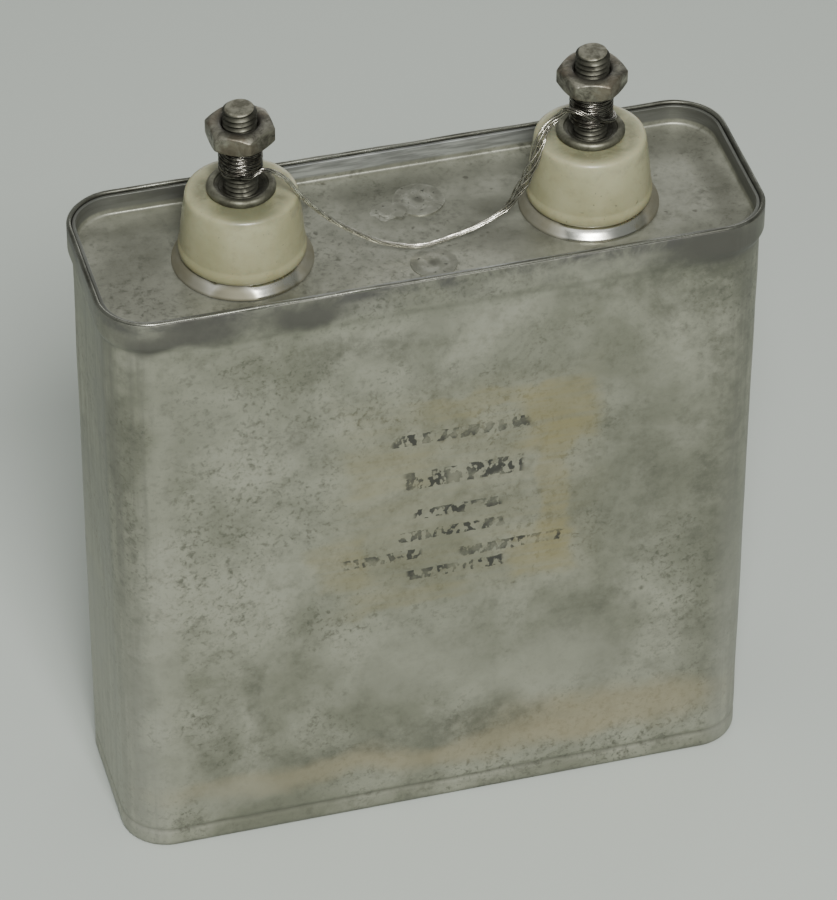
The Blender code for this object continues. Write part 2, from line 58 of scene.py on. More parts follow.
towards_camera = Vector((
    math.sin(CAMERA_AZIMUTH) * math.cos(CAMERA_ELEVATION),
    -math.cos(CAMERA_AZIMUTH) * math.cos(CAMERA_ELEVATION),
    math.sin(CAMERA_ELEVATION),
))
camera_data = bpy.data.cameras.new("camera")
camera_data.lens = CAMERA_LENS
camera_data.sensor_width = SENSOR
camera_data.clip_start = 0.01
camera = bpy.data.objects.new("camera", camera_data)
bpy.context.scene.collection.objects.link(camera)
bpy.context.scene.camera = camera
facing = towards_camera.to_track_quat("Z", "Y").to_matrix().to_4x4()
camera.matrix_world = (
    Matrix.Translation(LOOK_AT + towards_camera * CAMERA_DISTANCE)
    @ facing
    @ Matrix.Rotation(CAMERA_ROLL, 4, "Z")
)

# Shorting wire: seven fine tinned copper strands twisted together. It is wound round the left
# stud under its nut, hangs just clear of the lid, climbs the right bushing's flank, crosses the
# front of its own turns and is wound up to the right nut.
WIRE_DIAMETER = 0.0007
STRANDS_ROUND_CORE = 6
STRAND_RADIUS = WIRE_DIAMETER / 6
STRAND_LAY = 0.014
SPLAY_START = 0.0100
SPLAY_RUN = 0.0062
SPLAY_MOST = 2.6
SPLAY_FALL = 2.2
SPLAYED = 1.02
TURN_RADIUS = 0.00277
TURN_STEPS = 24
WIRE_STEP = 0.0003
FINE_STEPS = 6
ROUTE = [
    (-0.0249, -0.00366, 0.1120),
    (-0.0239, -0.0037, 0.1126),
    (-0.0228, -0.0037, 0.1129),
    (-0.0214, -0.0037, 0.1123),
    (-0.0196, -0.0037, 0.1106),
    (-0.0183, -0.0037, 0.1085),
    (-0.0167, -0.0037, 0.1063),
    (-0.0144, -0.0038, 0.1036),
    (-0.0118, -0.0040, 0.1013),
    (-0.0081, -0.0045, 0.0988),
    (-0.0056, -0.0049, 0.0977),
    (-0.0028, -0.0052, 0.0969),
    (-0.0008, -0.0054, 0.0967),
    (0.0013, -0.0053, 0.0968),
    (0.0039, -0.0050, 0.0971),
    (0.0067, -0.0048, 0.0977),
    (0.0094, -0.0046, 0.0987),
    (0.0116, -0.0043, 0.0998),
    (0.0133, -0.0041, 0.1019),
    (0.0149, -0.0038, 0.1043),
    (0.0158, -0.0035, 0.1059),
    (0.0164, -0.0031, 0.1073),
    (0.0172, -0.0023, 0.1094),
    (0.0178, -0.0018, 0.1102),
    (0.0185, -0.0014, 0.1107),
    (0.0192, -0.0011, 0.1112),
    (0.0200, -0.0010, 0.1118),
    (0.0206, -0.0011, 0.1124),
    (0.0211, -0.0013, 0.1130),
]


def turn_points(axis_x, start, finish, foot, top, count):
    """Points on close turns about an upright axis, from a start angle to a finish one."""
    points = []
    for i in range(count + 1):
        angle = start + (finish - start) * i / count
        height = foot + (top - foot) * i / count
        points.append((
            axis_x + TURN_RADIUS * math.cos(angle),
            TURN_RADIUS * math.sin(angle),
            height,
        ))
    return points


def smooth_line(points, step):
    """A smooth curve through a route's points, cut into even steps."""
    route = [Vector(p) for p in points]
    before = [route[0], *route[:-1]]
    after = [*route[1:], route[-1]]
    pulls = [(b - a) / 6 for a, b in zip(before, after)]
    fine = [route[0]]
    for i in range(len(route) - 1):
        start, end = route[i], route[i + 1]
        fine += interpolate_bezier(start, start + pulls[i], end - pulls[i + 1], end, FINE_STEPS + 1)[1:]
    line = [fine[0]]
    left_over = 0.0
    for a, b in zip(fine, fine[1:]):
        length = (b - a).length
        along = step - left_over
        while along <= length:
            line.append(a.lerp(b, along / length))
            along += step
        left_over = length - (along - step)
    return line


left_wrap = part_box("wire_wrap_left")
right_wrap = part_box("wire_wrap_right")
left_x = (left_wrap[0].x + left_wrap[1].x) / 2
right_x = (right_wrap[0].x + right_wrap[1].x) / 2
half_wire = WIRE_DIAMETER / 2
LEFT_TURNS = 6
RIGHT_TURNS = 7
left_leaves = math.radians(215)
right_settles = math.radians(410)
# Where the wire crosses its own turns: angle in degrees, distance from the stud's axis, height
CROSSING = [
    (212, 0.0039, 0.1133),
    (236, 0.0035, 0.1130),
    (262, 0.00344, 0.1123),
    (288, 0.00342, 0.1115),
    (314, 0.0034, 0.1109),
    (340, 0.0033, 0.1105),
    (366, 0.0031, 0.1103),
    (388, 0.0029, 0.1102),
]
route = turn_points(
    left_x,
    left_leaves - LEFT_TURNS * math.tau,
    left_leaves,
    left_wrap[1].z - half_wire,
    left_wrap[0].z + half_wire,
    LEFT_TURNS * TURN_STEPS,
)
route += ROUTE
for degrees, reach, height in CROSSING:
    angle = math.radians(degrees)
    route.append((right_x + reach * math.cos(angle), reach * math.sin(angle), height))
route += turn_points(
    right_x,
    right_settles,
    right_settles + RIGHT_TURNS * math.tau,
    right_wrap[0].z + half_wire,
    right_wrap[1].z - half_wire,
    RIGHT_TURNS * TURN_STEPS,
)
wire_line = smooth_line(route, WIRE_STEP)


def splay(point):
    """How far the strands part: they open out as they climb past the right bushing."""
    rise = (point.x - SPLAY_START) / SPLAY_RUN
    return 1 + SPLAY_MOST * math.exp(-((rise - 1) ** 2) * SPLAY_FALL) if -1 < rise < 2.5 else 1.0


def strand_points(line, index):
    """One strand's own line: the core, or one of the strands laid round it."""
    tangents = [(b - a).normalized() for a, b in zip(line, line[1:])]
    tangents.append(tangents[-1])
    normal = tangents[0].orthogonal().normalized()
    points = []
    for i, (centre, along) in enumerate(zip(line, tangents)):
        normal = (normal - along * normal.dot(along)).normalized()
        if index == STRANDS_ROUND_CORE:
            points.append(centre.copy())
            continue
        across = along.cross(normal)
        angle = math.tau * (index / STRANDS_ROUND_CORE + i * WIRE_STEP / STRAND_LAY)
        spread = splay(centre)
        stray = 1 + 0.25 * (spread - 1) * noise.noise(centre * 260 + Vector((index * 7.0, 0, 0)))
        offset = (normal * math.cos(angle) + across * math.sin(angle)) * 2 * STRAND_RADIUS
        sideways = offset.project(along.cross(Vector((0, 1, 0)))) if spread > SPLAYED else Vector()
        points.append(centre + offset + sideways * (spread * stray - 1))
    return points


strand_curve = bpy.data.curves.new("strands", "CURVE")
strand_curve.dimensions = "3D"
strand_curve.bevel_depth = STRAND_RADIUS
strand_curve.bevel_resolution = 1
strand_curve.use_fill_caps = True
for index in range(STRANDS_ROUND_CORE + 1):
    points = strand_points(wire_line, index)
    spline = strand_curve.splines.new("POLY")
    spline.points.add(len(points) - 1)
    for knot, place in zip(spline.points, points):
        knot.co = (*place, 1)


def as_mesh_piece(curve, name):
    """Turn a curve into a mesh piece, and throw the curve away."""
    holder = bpy.data.objects.new(name + "_curve", curve)
    bpy.context.scene.collection.objects.link(holder)
    bpy.context.view_layer.update()
    graph = bpy.context.evaluated_depsgraph_get()
    mesh = bpy.data.meshes.new_from_object(holder.evaluated_get(graph))
    bpy.data.objects.remove(holder)
    mesh.name = name
    mesh.shade_smooth()
    piece = bpy.data.objects.new(name, mesh)
    bpy.context.scene.collection.objects.link(piece)
    return piece


class Finish:
    """A material whose shader is fed by patterns laid over the piece."""

    def __init__(self, name, metallic, roughness):
        self.material = bpy.data.materials.new(name)
        self.material.use_nodes = True
        self.tree = self.material.node_tree
        self.shader = self.tree.nodes["Principled BSDF"]
        self.shader.inputs["Metallic"].default_value = metallic
        self.shader.inputs["Roughness"].default_value = roughness
        self.place = self.tree.nodes.new("ShaderNodeTexCoord").outputs["Object"]
        self.parts = None

    def feed(self, socket, value):
        """Link a pattern to a socket, or set a plain value there."""
        if isinstance(value, bpy.types.NodeSocket):
            self.tree.links.new(value, socket)
        else:
            socket.default_value = (*value, 1) if socket.type == "RGBA" and len(value) == 3 else value

    def add(self, kind, *values, **settings):
        """A node with its settings, its first inputs fed in order."""
        node = self.tree.nodes.new(kind)
        for key, value in settings.items():
            setattr(node, key, value)
        for socket, value in zip(node.inputs, values):
            self.feed(socket, value)
        return node

    def sum(self, operation, a, b=0.0):
        """One step of arithmetic on patterns."""
        return self.add("ShaderNodeMath", a, b, operation=operation).outputs[0]

    def times(self, *shares):
        """Patterns multiplied together."""
        product = shares[0]
        for share in shares[1:]:
            product = self.sum("MULTIPLY", product, share)
        return product

    def vector(self, operation, *places):
        """One step of arithmetic on places."""
        return self.add("ShaderNodeVectorMath", *places, operation=operation).outputs[0]

    def stretch(self, *amounts):
        """The piece's coordinates, each multiplied by its own amount."""
        return self.vector("MULTIPLY", self.place, amounts)

    def grain(self, scale, detail=4.0, rough=0.55, bend=0.0, place=None):
        """Cloudy noise from 0 to 1."""
        node = self.add("ShaderNodeTexNoise")
        for name, value in (
            ("Vector", place or self.place),
            ("Scale", scale),
            ("Detail", detail),
            ("Roughness", rough),
            ("Distortion", bend),
        ):
            self.feed(node.inputs[name], value)
        return node.outputs["Fac"]

    def between(self, value, low, high, to_low=0.0, to_high=1.0):
        """A soft step in a pattern, from low to high."""
        settings = {"interpolation_type": "SMOOTHSTEP"}
        return self.add("ShaderNodeMapRange", value, low, high, to_low, to_high, **settings).outputs[0]

    def mix(self, share, first, second):
        """One colour turning into another."""
        node = self.tree.nodes.new("ShaderNodeMix")
        node.data_type = "RGBA"
        self.feed(node.inputs[0], share)
        self.feed(node.inputs[6], first)
        self.feed(node.inputs[7], second)
        return node.outputs[2]

    def two_tone(self, pattern, low, high, first, second):
        """One colour where a pattern is low, and another where it is high."""
        return self.mix(self.between(pattern, low, high), first, second)

    def axis(self, letter, place=None):
        """One coordinate of the piece."""
        if place is None:
            if self.parts is None:
                self.parts = self.add("ShaderNodeSeparateXYZ", self.place)
            return self.parts.outputs[letter]
        return self.add("ShaderNodeSeparateXYZ", place).outputs[letter]

    def sideways(self):
        """How far a place is to the side of the can's middle."""
        return self.sum("ABSOLUTE", self.axis("X"))

    def warped(self, amount, scale):
        """The piece's coordinates, pushed about so that a patch gets a ragged edge."""
        node = self.add("ShaderNodeTexNoise")
        self.feed(node.inputs["Vector"], self.place)
        self.feed(node.inputs["Scale"], scale)
        self.feed(node.inputs["Detail"], 5.0)
        push = self.vector("SUBTRACT", node.outputs["Color"], (0.5, 0.5, 0.5))
        return self.vector("ADD", self.place, self.vector("MULTIPLY", push, (amount,) * 3))

    def patch(self, place, centre, half, edge=0.3, turn=0.0, square=False):
        """A soft-edged patch: 1 inside and 0 outside."""
        moved = self.vector("SUBTRACT", place, centre)
        if turn:
            turner = self.add("ShaderNodeVectorRotate", rotation_type="Y_AXIS")
            self.feed(turner.inputs["Vector"], moved)
            self.feed(turner.inputs["Angle"], turn)
            moved = turner.outputs[0]
        scaled = self.vector("DIVIDE", moved, half)
        if square:
            split = self.add("ShaderNodeSeparateXYZ", self.vector("ABSOLUTE", scaled))
            flat = self.sum("MAXIMUM", split.outputs[0], split.outputs[2])
            reach = self.sum("MAXIMUM", flat, split.outputs[1])
        else:
            reach = self.add("ShaderNodeVectorMath", scaled, operation="LENGTH").outputs["Value"]
        return self.between(reach, 1 - edge, 1 + edge, 1.0, 0.0)

    def bump(self, height, distance, strength=1.0):
        """Fine relief, added to what is there."""
        node = self.tree.nodes.new("ShaderNodeBump")
        self.feed(node.inputs["Height"], height)
        node.inputs["Distance"].default_value = distance
        node.inputs["Strength"].default_value = strength
        old = self.shader.inputs["Normal"].links
        if old:
            self.tree.links.new(old[0].from_socket, node.inputs["Normal"])
        self.tree.links.new(node.outputs[0], self.shader.inputs["Normal"])

    def colour(self, value):
        """The shader's base colour."""
        self.feed(self.shader.inputs["Base Color"], value)

    def rough(self, value):
        """The shader's roughness."""
        self.feed(self.shader.inputs["Roughness"], value)


tinned_wire = Finish("tinned_wire", 1.0, 0.28)
wire_cloud = tinned_wire.grain(900, 3)
tarnished = tinned_wire.between(wire_cloud, 0.42, 0.62)
bright = tinned_wire.mix(tarnished, (0.72, 0.70, 0.61), (0.44, 0.425, 0.36))
climbing = tinned_wire.between(tinned_wire.axis("X"), 0.0085, 0.0135, 0.0, 0.6)
bright = tinned_wire.mix(climbing, bright, (0.13, 0.12, 0.085))
at_studs = tinned_wire.between(tinned_wire.sideways(), 0.0208, 0.0224)
sooty = tinned_wire.mix(tarnished, (0.20, 0.19, 0.165), (0.065, 0.06, 0.05))
tinned_wire.colour(tinned_wire.mix(at_studs, bright, sooty))
tinned_wire.rough(tinned_wire.between(wire_cloud, 0.35, 0.7, 0.18, 0.36))
tinned_wire.bump(tinned_wire.grain(4200, 2), 0.00002, 0.5)

shorting_wire = as_mesh_piece(strand_curve, "shorting_wire_strands")
shorting_wire.data.materials.append(tinned_wire.material)
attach(shorting_wire, "capacitor")
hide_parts("shorting_wire", "wire_wrap_left", "wire_wrap_right")

# Can: one sheet of tinplate bent into a flat tube, seamed and soldered. Its top is stepped out to
# take the lid, a shallow groove runs round above the foot, and handling has left it a little
# uneven.
SHEET = 0.0005
CORNER_RADIUS = 0.0069
CORNER_STEPS = 20
RIM_BAND = 0.0043
RIM_STEP = 0.00063
FOOT_BAND = 0.0032
FOOT_GROOVE = 0.00022
FOOT_GROOVE_WIDTH = 0.00045
FOOT_ROUND = 0.0008
FOOT_TUCK = 0.00035
PANEL_STEP = 0.0018
PANEL_DENT = 0.00016
RIM_WAVER = 0.00022
MERGE = 1e-6

can_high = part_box("can_body")[1]
can_half = Vector((can_high.x - RIM_STEP, can_high.y - RIM_STEP, 0))
can_top = can_high.z
inner_half = Vector((can_half.x - CORNER_RADIUS, can_half.y - CORNER_RADIUS, 0))
rim_foot = can_top - RIM_BAND


def soften(bm, edges, width, segments, clamp=False):
    """Round edges off."""
    bmesh.ops.bevel(
        bm,
        geom=edges,
        offset=width,
        offset_type="OFFSET",
        affect="EDGES",
        segments=segments,
        profile=0.5,
        clamp_overlap=clamp,
        material=-1,
    )


def rounded_tube(half_width, half_depth, radius, foot, top, steps):
    """The four walls of a box with round upright corners, without its two ends."""
    bm = bmesh.new()
    bmesh.ops.create_cube(bm, size=1.0)
    bmesh.ops.scale(bm, vec=(2 * half_width, 2 * half_depth, top - foot), verts=bm.verts)
    bmesh.ops.translate(bm, vec=(0, 0, (top + foot) / 2), verts=bm.verts)
    ends = [f for f in bm.faces if abs(f.normal.z) > 0.5]
    bmesh.ops.delete(bm, geom=ends, context="FACES_ONLY")
    upright = [e for e in bm.edges if abs((e.verts[0].co - e.verts[1].co).normalized().z) > 0.5]
    soften(bm, upright, radius, steps)
    return bm


def slice_across(bm, axis, places):
    """Cut every face along planes at the places given on one axis."""
    for place in places:
        point = Vector((0, 0, 0))
        point[axis] = place
        normal = Vector((0, 0, 0))
        normal[axis] = 1
        everything = [*bm.faces, *bm.edges, *bm.verts]
        bmesh.ops.bisect_plane(bm, geom=everything, dist=MERGE, plane_co=point, plane_no=normal)


def even_places(half, step):
    """Places about a step apart, between minus half and plus half."""
    count = max(1, round(2 * half / step))
    return [half * (2 * i / count - 1) for i in range(1, count)]


def outward(point):
    """The level direction that points out of the can's wall at a point."""
    core = Vector((
        max(-inner_half.x, min(inner_half.x, point.x)),
        max(-inner_half.y, min(inner_half.y, point.y)),
        point.z,
    ))
    return (point - core).normalized()


def dent(point):
    """How far the sheet stands out of true: broad hollows on the flat panels, small ripples at the rim."""
    broad = noise.noise(Vector((point.x * 38, point.y * 60, point.z * 34)))
    small = noise.noise(point * 150 + Vector((3.1, 0, 0)))
    away = min(1.0, (point.z - 0.002) / 0.008, (rim_foot - point.z) / 0.006)
    return PANEL_DENT * max(0.0, away) * (broad + 0.35 * small)


def ease(share):
    """A smooth rise from 0 to 1."""
    share = max(0.0, min(1.0, share))
    return share * share * (3 - 2 * share)


def wall_growth(point):
    """How far the can's wall stands out from its plain outline at a point."""
    waver = RIM_WAVER * noise.noise(Vector((point.x * 90, point.y * 90, 4.0)))
    cornered = ease((abs(point.x) - inner_half.x + 0.008) / 0.009)
    uneven = noise.noise(Vector((point.x * 60, point.y * 60, 8.0)))
    slope = RIM_STEP * (5.5 - 3.6 * cornered) * (1 + 0.35 * uneven)
    rim = RIM_STEP * ease((point.z - rim_foot - waver + slope) / (1.3 * slope))
    groove = FOOT_GROOVE * math.exp(-(((point.z - FOOT_BAND - waver) / FOOT_GROOVE_WIDTH) ** 2))
    tuck = max(0.0, 1 - point.z / FOOT_ROUND)
    return rim - groove - FOOT_TUCK * tuck * tuck + dent(point)


can = rounded_tube(can_half.x, can_half.y, CORNER_RADIUS, 0.0, can_top, CORNER_STEPS)
heights = [0.00015, 0.0004, 0.0008]
heights += [FOOT_BAND + 0.00025 * i for i in range(-4, 5)]
panel_rows = round((rim_foot - FOOT_BAND - 0.004) / PANEL_STEP)
heights += [FOOT_BAND + 0.0022 + PANEL_STEP * i for i in range(panel_rows)]
heights += [rim_foot + 0.00035 * i for i in range(-11, 6)]
heights += [rim_foot + 0.0025, rim_foot + 0.0032, can_top - 0.0004]
slice_across(can, 2, heights)
slice_across(can, 0, even_places(inner_half.x, PANEL_STEP))
slice_across(can, 1, even_places(inner_half.y, 2 * PANEL_STEP))
for vert in can.verts:
    vert.co += outward(vert.co) * wall_growth(vert.co)
bmesh.ops.recalc_face_normals(can, faces=can.faces)


def make_piece(bm, name, sharp=math.radians(40)):
    """Put a bmesh into the scene as a piece, smooth but for its sharp edges."""
    mesh = bpy.data.meshes.new(name)
    bm.to_mesh(mesh)
    bm.free()
    mesh.shade_smooth()
    mesh.set_sharp_from_angle(angle=sharp)
    piece = bpy.data.objects.new(name, mesh)
    bpy.context.scene.collection.objects.link(piece)
    return piece


def outward_faces(bm):
    """Turn the faces of an open wall so that they look away from the can's middle."""
    turned = [f for f in bm.faces if f.normal.dot(outward(f.calc_center_median())) < 0]
    bmesh.ops.reverse_faces(bm, faces=turned)


def thicken(piece, thickness, side, lip=0.00012):
    """Give an open sheet its thickness, to the inside (-1) or the outside (1), and soften its lips."""
    wall = piece.modifiers.new("sheet", "SOLIDIFY")
    wall.thickness = thickness
    wall.offset = side
    wall.use_even_offset = True
    soft = piece.modifiers.new("lips", "BEVEL")
    soft.width = lip
    soft.segments = 3
    soft.limit_method = "ANGLE"
    soft.angle_limit = math.radians(60)


outward_faces(can)
can_shell = make_piece(can, "can_shell")
thicken(can_shell, SHEET, -1)


# Dark specks of three sizes: scale, where they start and are full, and strength
SPECK_SIZES = ((560, 0.57, 0.72, 0.55), (1150, 0.50, 0.70, 0.7), (2300, 0.56, 0.70, 0.5))


def tinplate_finish(name, worn):
    """Old tinplate: grey with a yellow cast, clouded, specked with dark pits and rubbed dull."""
    tin = Finish(name, 0.55, 0.5)
    cloud = tin.grain(55, 6, 0.62, 0.4)
    fine = tin.grain(420, 5, 0.7)
    grit = tin.grain(1700, 3, 0.6)
    colour = tin.two_tone(cloud, 0.32, 0.68, worn["dull"], worn["light"])
    colour = tin.mix(tin.between(fine, 0.45, 0.8, 0.0, 0.45), colour, worn["dark"])
    smudge = tin.grain(34, 9, 0.68, 0.8, tin.stretch(1.0, 1.0, 0.75))
    smudged = tin.times(tin.between(smudge, 0.52, 0.72), tin.between(fine, 0.3, 0.6, 0.5, 1.0))
    colour = tin.mix(tin.times(smudged, worn["smudges"]), colour, worn["dark"])
    pits = tin.add("ShaderNodeTexVoronoi", feature="F1")
    tin.feed(pits.inputs["Vector"], tin.warped(0.0012, 900))
    tin.feed(pits.inputs["Scale"], worn["pit_scale"])
    size = tin.times(tin.axis("X", pits.outputs["Color"]), worn["pit_size"])
    pit = tin.between(tin.sum("SUBTRACT", pits.outputs["Distance"], size), -0.03, 0.05, 1.0, 0.0)
    colour = tin.mix(tin.times(pit, worn["pits"]), colour, (0.075, 0.072, 0.055))
    crowding = tin.between(tin.grain(48, 4, 0.6), 0.40, 0.62, 0.15, 1.0)
    for size, low, high, strength in SPECK_SIZES:
        specks = tin.between(tin.grain(size, 4, 0.6, 0.4), low, high, 0.0, strength)
        share = tin.times(specks, crowding, worn["specks"])
        colour = tin.mix(share, colour, worn["dark"])
    tin.cloud, tin.fine, tin.base = cloud, fine, colour
    tin.rough(tin.between(cloud, 0.3, 0.7, worn["smooth"], worn["rough"]))
    tin.bump(grit, 0.00003, 0.35)
    tin.bump(fine, 0.00008, 0.35)
    return tin


can_tin = tinplate_finish("can_tinplate", {
    "dull": (0.195, 0.198, 0.150),
    "light": (0.350, 0.352, 0.280),
    "dark": (0.080, 0.080, 0.060),
    "smudges": 0.62,
    "pit_scale": 130,
    "pit_size": 0.05,
    "pits": 0.7,
    "specks": 0.9,
    "smooth": 0.42,
    "rough": 0.6,
})
FACE_Y = -can_half.y


def on_face(x, z):
    """A place on the broad front face, in millimetres across and up."""
    return (x / 1000, FACE_Y, z / 1000)


def face_size(x, z):
    """Half sizes of a mark on the front face, in millimetres across and up."""
    return (x / 1000, 0.004, z / 1000)


def stained(skin, colour, place, edge, patches, broken=1.0, square=False):
    """The can's skin with patches of one colour on its front face.

    Each patch is its middle across and up, its half sizes, its turn and its strength.
    """
    for x, z, width, height, turn, strength in patches:
        mask = can_tin.patch(place, on_face(x, z), face_size(width, height), edge, turn, square)
        skin = can_tin.mix(can_tin.times(mask, broken, strength), skin, colour)
    return skin


ragged = can_tin.warped(0.008, 140)
loose = can_tin.warped(0.009, 90)
streaks = can_tin.grain(1.0, 4, 0.6, 0.3, can_tin.stretch(60, 60, 900))
skin = can_tin.base
# What is left of a varnished patch: pale in the middle and tan where it is thickest
varnished = (
    (3, 59, 18, 18, 0.0, 0.22),
    (16.5, 70.5, 5.4, 5.6, 0.0, 0.62),
    (16.6, 57, 2.4, 12, 0.0, 0.5),
    (14.6, 45.5, 4.6, 4.4, 0.0, 0.58),
    (6, 75, 10, 1.8, 0.0, 0.34),
    (-8, 64.5, 6, 4, 0.0, 0.26),
    (-15.5, 49, 4.2, 4.6, 0.0, 0.4),
    (-5, 41, 8, 1.8, 0.0, 0.26),
)
uneven = can_tin.between(streaks, 0.3, 0.65, 0.45, 1.0)
skin = stained(skin, (0.285, 0.25, 0.125), ragged, 0.3, varnished, uneven, square=True)
# Tan bloom along the foot
bloom = (
    (-24, 9.5, 20, 2.6, 0.0, 0.5),
    (6, 8.5, 18, 2.6, 0.0, 0.55),
    (26, 11.5, 19, 4.2, -0.06, 0.6),
)
skin = stained(skin, (0.345, 0.30, 0.19), loose, 0.55, bloom)
# Paler, rubbed places, and a painted highlight: a pale upright strip on the left corner's curve
rubbed_and_corner_highlight = (
    (15, 22, 10, 6.5, 0.35, 0.5),
    (-4, 27, 12, 7, 0.1, 0.3),
    (-32, 8, 7, 3, 0.0, 0.3),
    (0, 91, 16, 3, 0.0, 0.3),
    (-36, 80, 7, 9, 0.0, 0.25),
    # Painted highlight: the pale upright strip where the left corner's curve catches the light
    (-41.5, 45, 2.0, 44, 0.0, 0.4),
    (30, 20, 12, 5, 0.0, 0.3),
)
skin = stained(skin, (0.37, 0.37, 0.30), loose, 0.5, rubbed_and_corner_highlight)
# Dark smears from handling, and a painted reflection: a dark upright band on the left corner's curve
smears_and_corner_reflection = (
    (-11, 88, 10, 2.6, 0.05, 0.5),
    (-31, 95.6, 14, 1.7, 0.0, 0.6),
    (39, 94.6, 9, 3.4, 0.0, 0.85),
    (24, 91.5, 9, 2.0, 0.1, 0.4),
    (-29, 26, 1.6, 6.5, 0.12, 0.5),
    (6, 13.5, 11, 3.4, -0.15, 0.6),
    (-14, 12.5, 13, 2.2, -0.1, 0.5),
    (22, 31, 7, 4.5, 0.4, 0.4),
    (31, 55, 8, 14, 0.1, 0.35),
    (42, 60, 4.5, 38, 0.0, 0.5),
    (40, 90, 9, 4.5, 0.0, 0.45),
    # Painted reflection: the dark upright band on the left corner's curve
    (-45.8, 55, 1.6, 40, 0.0, 0.5),
    (-35, 18, 3, 8, 0.0, 0.3),
    (8, 60, 12, 7, 0.0, 0.22),
)
broken = can_tin.between(can_tin.fine, 0.3, 0.62, 0.35, 1.0)
skin = stained(skin, (0.105, 0.107, 0.082), loose, 0.6, smears_and_corner_reflection, broken)
# Painted shade: darker lines in the rim's step, in the groove above the foot and along the foot's edge,
# where the step, the groove and the floor shade the sheet
height_up = can_tin.axis("Z", can_tin.warped(0.0007, 300))
shade_lines = ((rim_foot - 0.0009, 0.0010, 0.3), (FOOT_BAND, 0.0006, 0.5), (0.0, 0.0012, 0.6))
for middle, reach, strength in shade_lines:
    off = can_tin.sum("ABSOLUTE", can_tin.sum("SUBTRACT", height_up, middle))
    line = can_tin.between(off, 0.0, reach, strength, 0.0)
    skin = can_tin.mix(line, skin, (0.10, 0.10, 0.08))
# Painted shade on the rim band, where the step's slope faces down, and just under the lip, broken up by
# blotches
band = can_tin.between(height_up, rim_foot - 0.0010, rim_foot + 0.0012, 0.0, 0.35)
under_lip = can_tin.between(height_up, can_top - 0.0024, can_top - 0.0008, 0.0, 0.55)
blotched = can_tin.between(can_tin.grain(110, 6, 0.7, 0.6), 0.38, 0.6, 0.25, 1.0)
rim_shade = can_tin.times(can_tin.sum("ADD", band, under_lip), blotched)
skin = can_tin.mix(rim_shade, skin, (0.085, 0.083, 0.078))
# Black grime worn into the two ends of the rim band
grimy = ((-38, 96.4, 10, 2.4, 0.0, 0.85), (-20, 96.6, 6, 2.0, 0.0, 0.9), (40, 95.8, 7.5, 3.0, 0.0, 0.95))
skin = stained(skin, (0.085, 0.083, 0.072), loose, 0.5, grimy)
# Worn stamping ink: rows of broken marks that spell nothing
INK_ROWS = ((2.3, 70.2, 10.2, 1.0), (2.9, 62.6, 8.8, 1.6), (2.0, 56.2, 6.5, 0.9), (1.3, 52.3, 8.4, 0.9),
            (-9.2, 48.9, 5.8, 0.9), (10.0, 47.8, 7.8, 0.9), (1.6, 45.0, 7.2, 0.9))
dashes = can_tin.grain(1.0, 2, 0.5, 0.0, can_tin.stretch(900, 200, 620))
worn_ink = can_tin.between(can_tin.grain(260, 4), 0.34, 0.6, 0.25, 0.9)
ink_place = can_tin.warped(0.0006, 900)
ink = None
for x, z, width, height in INK_ROWS:
    row = can_tin.patch(ink_place, on_face(x, z), face_size(width, height), 0.05, 0.0, True)
    ink = row if ink is None else can_tin.sum("MAXIMUM", ink, row)
mark = can_tin.between(dashes, 0.47, 0.53)
share = can_tin.times(ink, mark, worn_ink)
skin = can_tin.mix(share, skin, (0.035, 0.035, 0.033))
# Long vertical drawing marks on the rounded corners and the narrow sides
drawn = can_tin.grain(1.0, 4, 0.6, 0.2, can_tin.stretch(420, 420, 14))
side_on = can_tin.between(can_tin.sideways(), inner_half.x - 0.001, inner_half.x + 0.004)
streaked = can_tin.times(can_tin.between(drawn, 0.42, 0.64), side_on)
skin = can_tin.mix(can_tin.times(streaked, 0.5), skin, (0.13, 0.13, 0.11))
# Painted reflection of the floor: the corners and narrow sides are made paler towards the foot
floor_reflection = can_tin.times(can_tin.between(can_tin.axis("Z"), 0.015, 0.075, 0.35, 0.0), side_on)
skin = can_tin.mix(floor_reflection, skin, (0.50, 0.50, 0.43))
can_tin.colour(skin)
can_tin.bump(drawn, 0.0001, 0.25)
can_shell.data.materials.append(can_tin.material)
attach(can_shell, "capacitor")
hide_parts("can_body")

# Lid and bottom cover: shallow pans of the same tinplate, pressed to fit inside the can with
# their flanges towards its edges. The lid is holed for the two bushings and the filling holes.
PAN_GAP = 0.0003
PAN_BEND = 0.00045
PAN_LIP = 0.0001
PAN_WAVER = 0.00012
PAN_STIFF_EDGE = 0.004
HOLE_STEPS = 48


